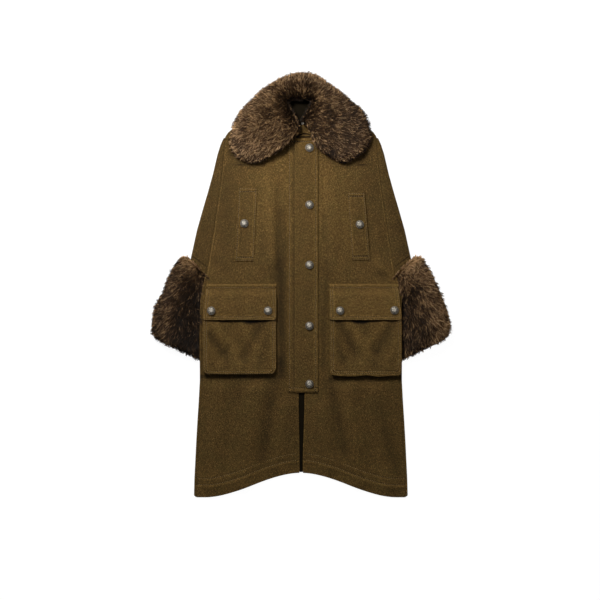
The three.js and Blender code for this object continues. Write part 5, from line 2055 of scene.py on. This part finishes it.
# --- Buttons and hook ---
@dataclass(frozen=True)
class Button:
    """A domed metal button with a roped rim and a plain rosette."""

    radius: float = 10.5
    height: float = 6.5
    profile: tuple[tuple[float, float], ...] = (
        (0.0, 0.0), (0.62, 0.0), (0.9, 0.22), (1.0, 0.42), (0.985, 0.55), (0.93, 0.66),
        (0.86, 0.68), (0.80, 0.60), (0.75, 0.62), (0.66, 0.76), (0.54, 0.88), (0.42, 0.95),
        (0.30, 0.985), (0.18, 1.0), (0.08, 1.0), (0.0, 0.985))
    petals: int = 7
    ropes: int = 28
    steps: int = 56

    def mesh(self) -> bpy.types.Mesh:
        """Spins the profile and raises its relief."""
        bm = bmesh.new()
        rim = [bm.verts.new((r * self.radius, 0, h * self.height)) for r, h in self.profile]
        edges = [bm.edges.new((a, b)) for a, b in zip(rim, rim[1:])]
        bmesh.ops.spin(bm, geom=rim + edges, cent=(0, 0, 0), axis=(0, 0, 1), dvec=(0, 0, 0),
                       angle=2 * math.pi, steps=self.steps, use_merge=True, use_duplicate=False)
        bmesh.ops.remove_doubles(bm, verts=bm.verts[:], dist=1e-4)
        recess = bm.verts.layers.float.new("recess")
        for vert in bm.verts:
            away = math.hypot(vert.co.x, vert.co.y) / self.radius
            turn = math.atan2(vert.co.y, vert.co.x)
            # The lower side is darkened too: painted shade under the dome.
            if vert.co.z < 0.45 * self.height:
                vert[recess] = 0.75
                continue
            rope = 0.5 + 0.5 * math.cos(self.ropes * turn + 3 * away)
            petal = abs(math.cos(self.petals / 2 * turn)) ** 0.6
            on_rim, on_leaf = bell((away - 0.9) / 0.07), bell((away - 0.42) / 0.2)
            vert.co.z += 0.40 * on_rim * (rope - 0.5) + 1.3 * on_leaf * (petal - 0.6)
            valley = bell((away - 0.79) / 0.05)
            vert[recess] = min(1.0, 0.95 * valley + on_rim * (1 - rope) * 0.7
                               + on_leaf * (1 - petal))
        bmesh.ops.recalc_face_normals(bm, faces=bm.faces[:])
        bmesh.ops.scale(bm, vec=(MM, MM, MM), verts=bm.verts[:])
        return finished(bm, "button")

    def build(self, cloths: Cloths, name: str, turn: float) -> None:
        """Sets one button where its CAD node is.

        Args:
            cloths: the shared finishes.
            name: the CAD node's name.
            turn: the button's turn in radians.
        """
        low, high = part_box(name)
        mesh = self.mesh()
        middle = ((low[0] + high[0]) / 2, (low[1] + high[1]) / 2, low[2])
        mesh.transform(Matrix.Translation(middle) @ Matrix.Rotation(turn, 4, "Z"))
        piece = put_in_scene(f"silver_{name}", mesh, cloths.silver)
        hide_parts(name)


@dataclass(frozen=True)
class Fastenings:
    """The eleven buttons and the hook at the throat."""

    buttons: tuple[str, ...] = (
        "button_front_1", "button_front_2", "button_front_3", "button_front_4", "button_front_5",
        "button_welt_left", "button_welt_right", "button_flap_left_outer",
        "button_flap_left_inner", "button_flap_right_inner", "button_flap_right_outer")

    def build(self, cloths: Cloths) -> None:
        """Builds the buttons and finishes the hook."""
        for i, name in enumerate(self.buttons):
            Button().build(cloths, name, 0.7 * i)
        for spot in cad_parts["hook"].material_slots:
            spot.material = cloths.silver
        LOG.info("hook: finished")


# --- Studio ---
@dataclass(frozen=True)
class Lamp:
    """A soft square light that looks at a point of the coat."""

    name: str
    place: tuple[float, float, float]
    aim: tuple[float, float, float]
    size: float
    watts: float
    colour: Colour = (1.0, 1.0, 1.0)

    def build(self) -> None:
        """Sets the light."""
        data = bpy.data.lights.new(self.name, "AREA")
        data.shape = "SQUARE"
        data.size, data.energy, data.color = self.size, self.watts, self.colour
        lamp = bpy.data.objects.new(self.name, data)
        bpy.context.scene.collection.objects.link(lamp)
        lamp.location = self.place
        look = Vector(self.aim) - Vector(self.place)
        lamp.rotation_euler = look.to_track_quat("-Z", "Y").to_euler()


@dataclass(frozen=True)
class Studio:
    """A plain pale floor, soft light from the collar's end and a camera straight above."""

    camera_place: tuple[float, float, float] = (-0.0022, -0.039, 4.333)
    lens: float = 100.0
    lamps: tuple[Lamp, ...] = field(default_factory=lambda: (
        Lamp("key", (-0.44, 0.82, 0.98), (0.0, 0.05, 0.0), 0.30, 23.8, (1.0, 0.98, 0.94)),
        Lamp("fill", (0.9, 0.5, 1.7), (0.0, -0.1, 0.0), 1.4, 5.0, (1.0, 0.99, 0.98)),
    ))
    ambient: float = 0.14

    def build(self) -> None:
        """Builds floor, lights, world and camera."""
        bm = bmesh.new()
        bmesh.ops.create_grid(bm, x_segments=8, y_segments=8, size=3.0)
        bmesh.ops.translate(bm, verts=bm.verts[:], vec=(0, 0, -0.0004))
        mesh = finished(bm, "studio_floor")
        mesh.materials.append(FloorFinish().material())
        floor = bpy.data.objects.new("studio_floor", mesh)
        scene = bpy.context.scene
        scene.collection.objects.link(floor)
        for lamp in self.lamps:
            lamp.build()
        world = bpy.data.worlds.new("studio")
        world.use_nodes = True
        world.node_tree.nodes["Background"].inputs["Color"].default_value = (1, 1, 1, 1)
        world.node_tree.nodes["Background"].inputs["Strength"].default_value = self.ambient
        scene.world = world
        data = bpy.data.cameras.new("camera")
        data.lens = self.lens
        camera = bpy.data.objects.new("camera", data)
        camera.location = self.camera_place
        scene.collection.objects.link(camera)
        scene.camera = camera
        scene.view_settings.view_transform = "Standard"
        scene.view_settings.look = "None"
        LOG.info("studio: floor, %d lamps and camera", len(self.lamps))


LEFT_CREASES = (
    (-100, -96, -150, -186, 12, -2.6), (-150, -100, -118, -170, 14, 2.0),
    (-238, -126, -200, -176, 10, -2.4), (-216, -104, -176, -170, 13, 2.2),
    (-190, -160, -192, -214, 7, -1.5), (-164, -170, -160, -216, 12, 1.6),
    (-232, -170, -214, -210, 10, 1.4), (-90, -150, -104, -206, 9, -1.4),
)
RIGHT_CREASES = (
    (98, -96, 146, -180, 12, -2.4), (128, -98, 176, -176, 13, 2.2),
    (238, -98, 196, -170, 12, -2.4), (214, -98, 176, -150, 11, 1.8),
    (92, -146, 116, -206, 9, -1.4), (246, -146, 222, -206, 9, 1.5),
    (190, -170, 192, -216, 8, -1.4), (150, -176, 154, -218, 11, 1.5),
)


def main() -> None:
    """Builds the whole coat in order."""
    logging.basicConfig(level=logging.INFO, format="%(name)s: %(message)s")
    Studio().build()
    cloths = Cloths(
        loden=LodenFinish().material(),
        trim=LodenFinish(name="loden_trim", turn=0.35).material(),
        thread=ThreadFinish().material(), lining=LiningFinish().material(),
        hide=HideFinish().material(), fur=FurFinish().material(),
        silver=SilverFinish().material())
    Back().build(cloths)
    for side in Side:
        Front(side).build(cloths)
        Yoke(side).build(cloths)
        Sleeve(side).build(cloths)
        Cuff(side).build(cloths)
    Placket().build(cloths)
    Welt(Side.LEFT, -162, -113, -171, -122, 252, 62).build(cloths)
    Welt(Side.RIGHT, 120, 166, 132, 180, 240, 65).build(cloths)
    Pocket(Side.LEFT, 64, 253, 244, LEFT_CREASES).build(cloths)
    Pocket(Side.RIGHT, 75, 260.5, 252, RIGHT_CREASES).build(cloths)
    Collar().build(cloths)
    Fastenings().build(cloths)


if __name__ == "__main__":
    main()
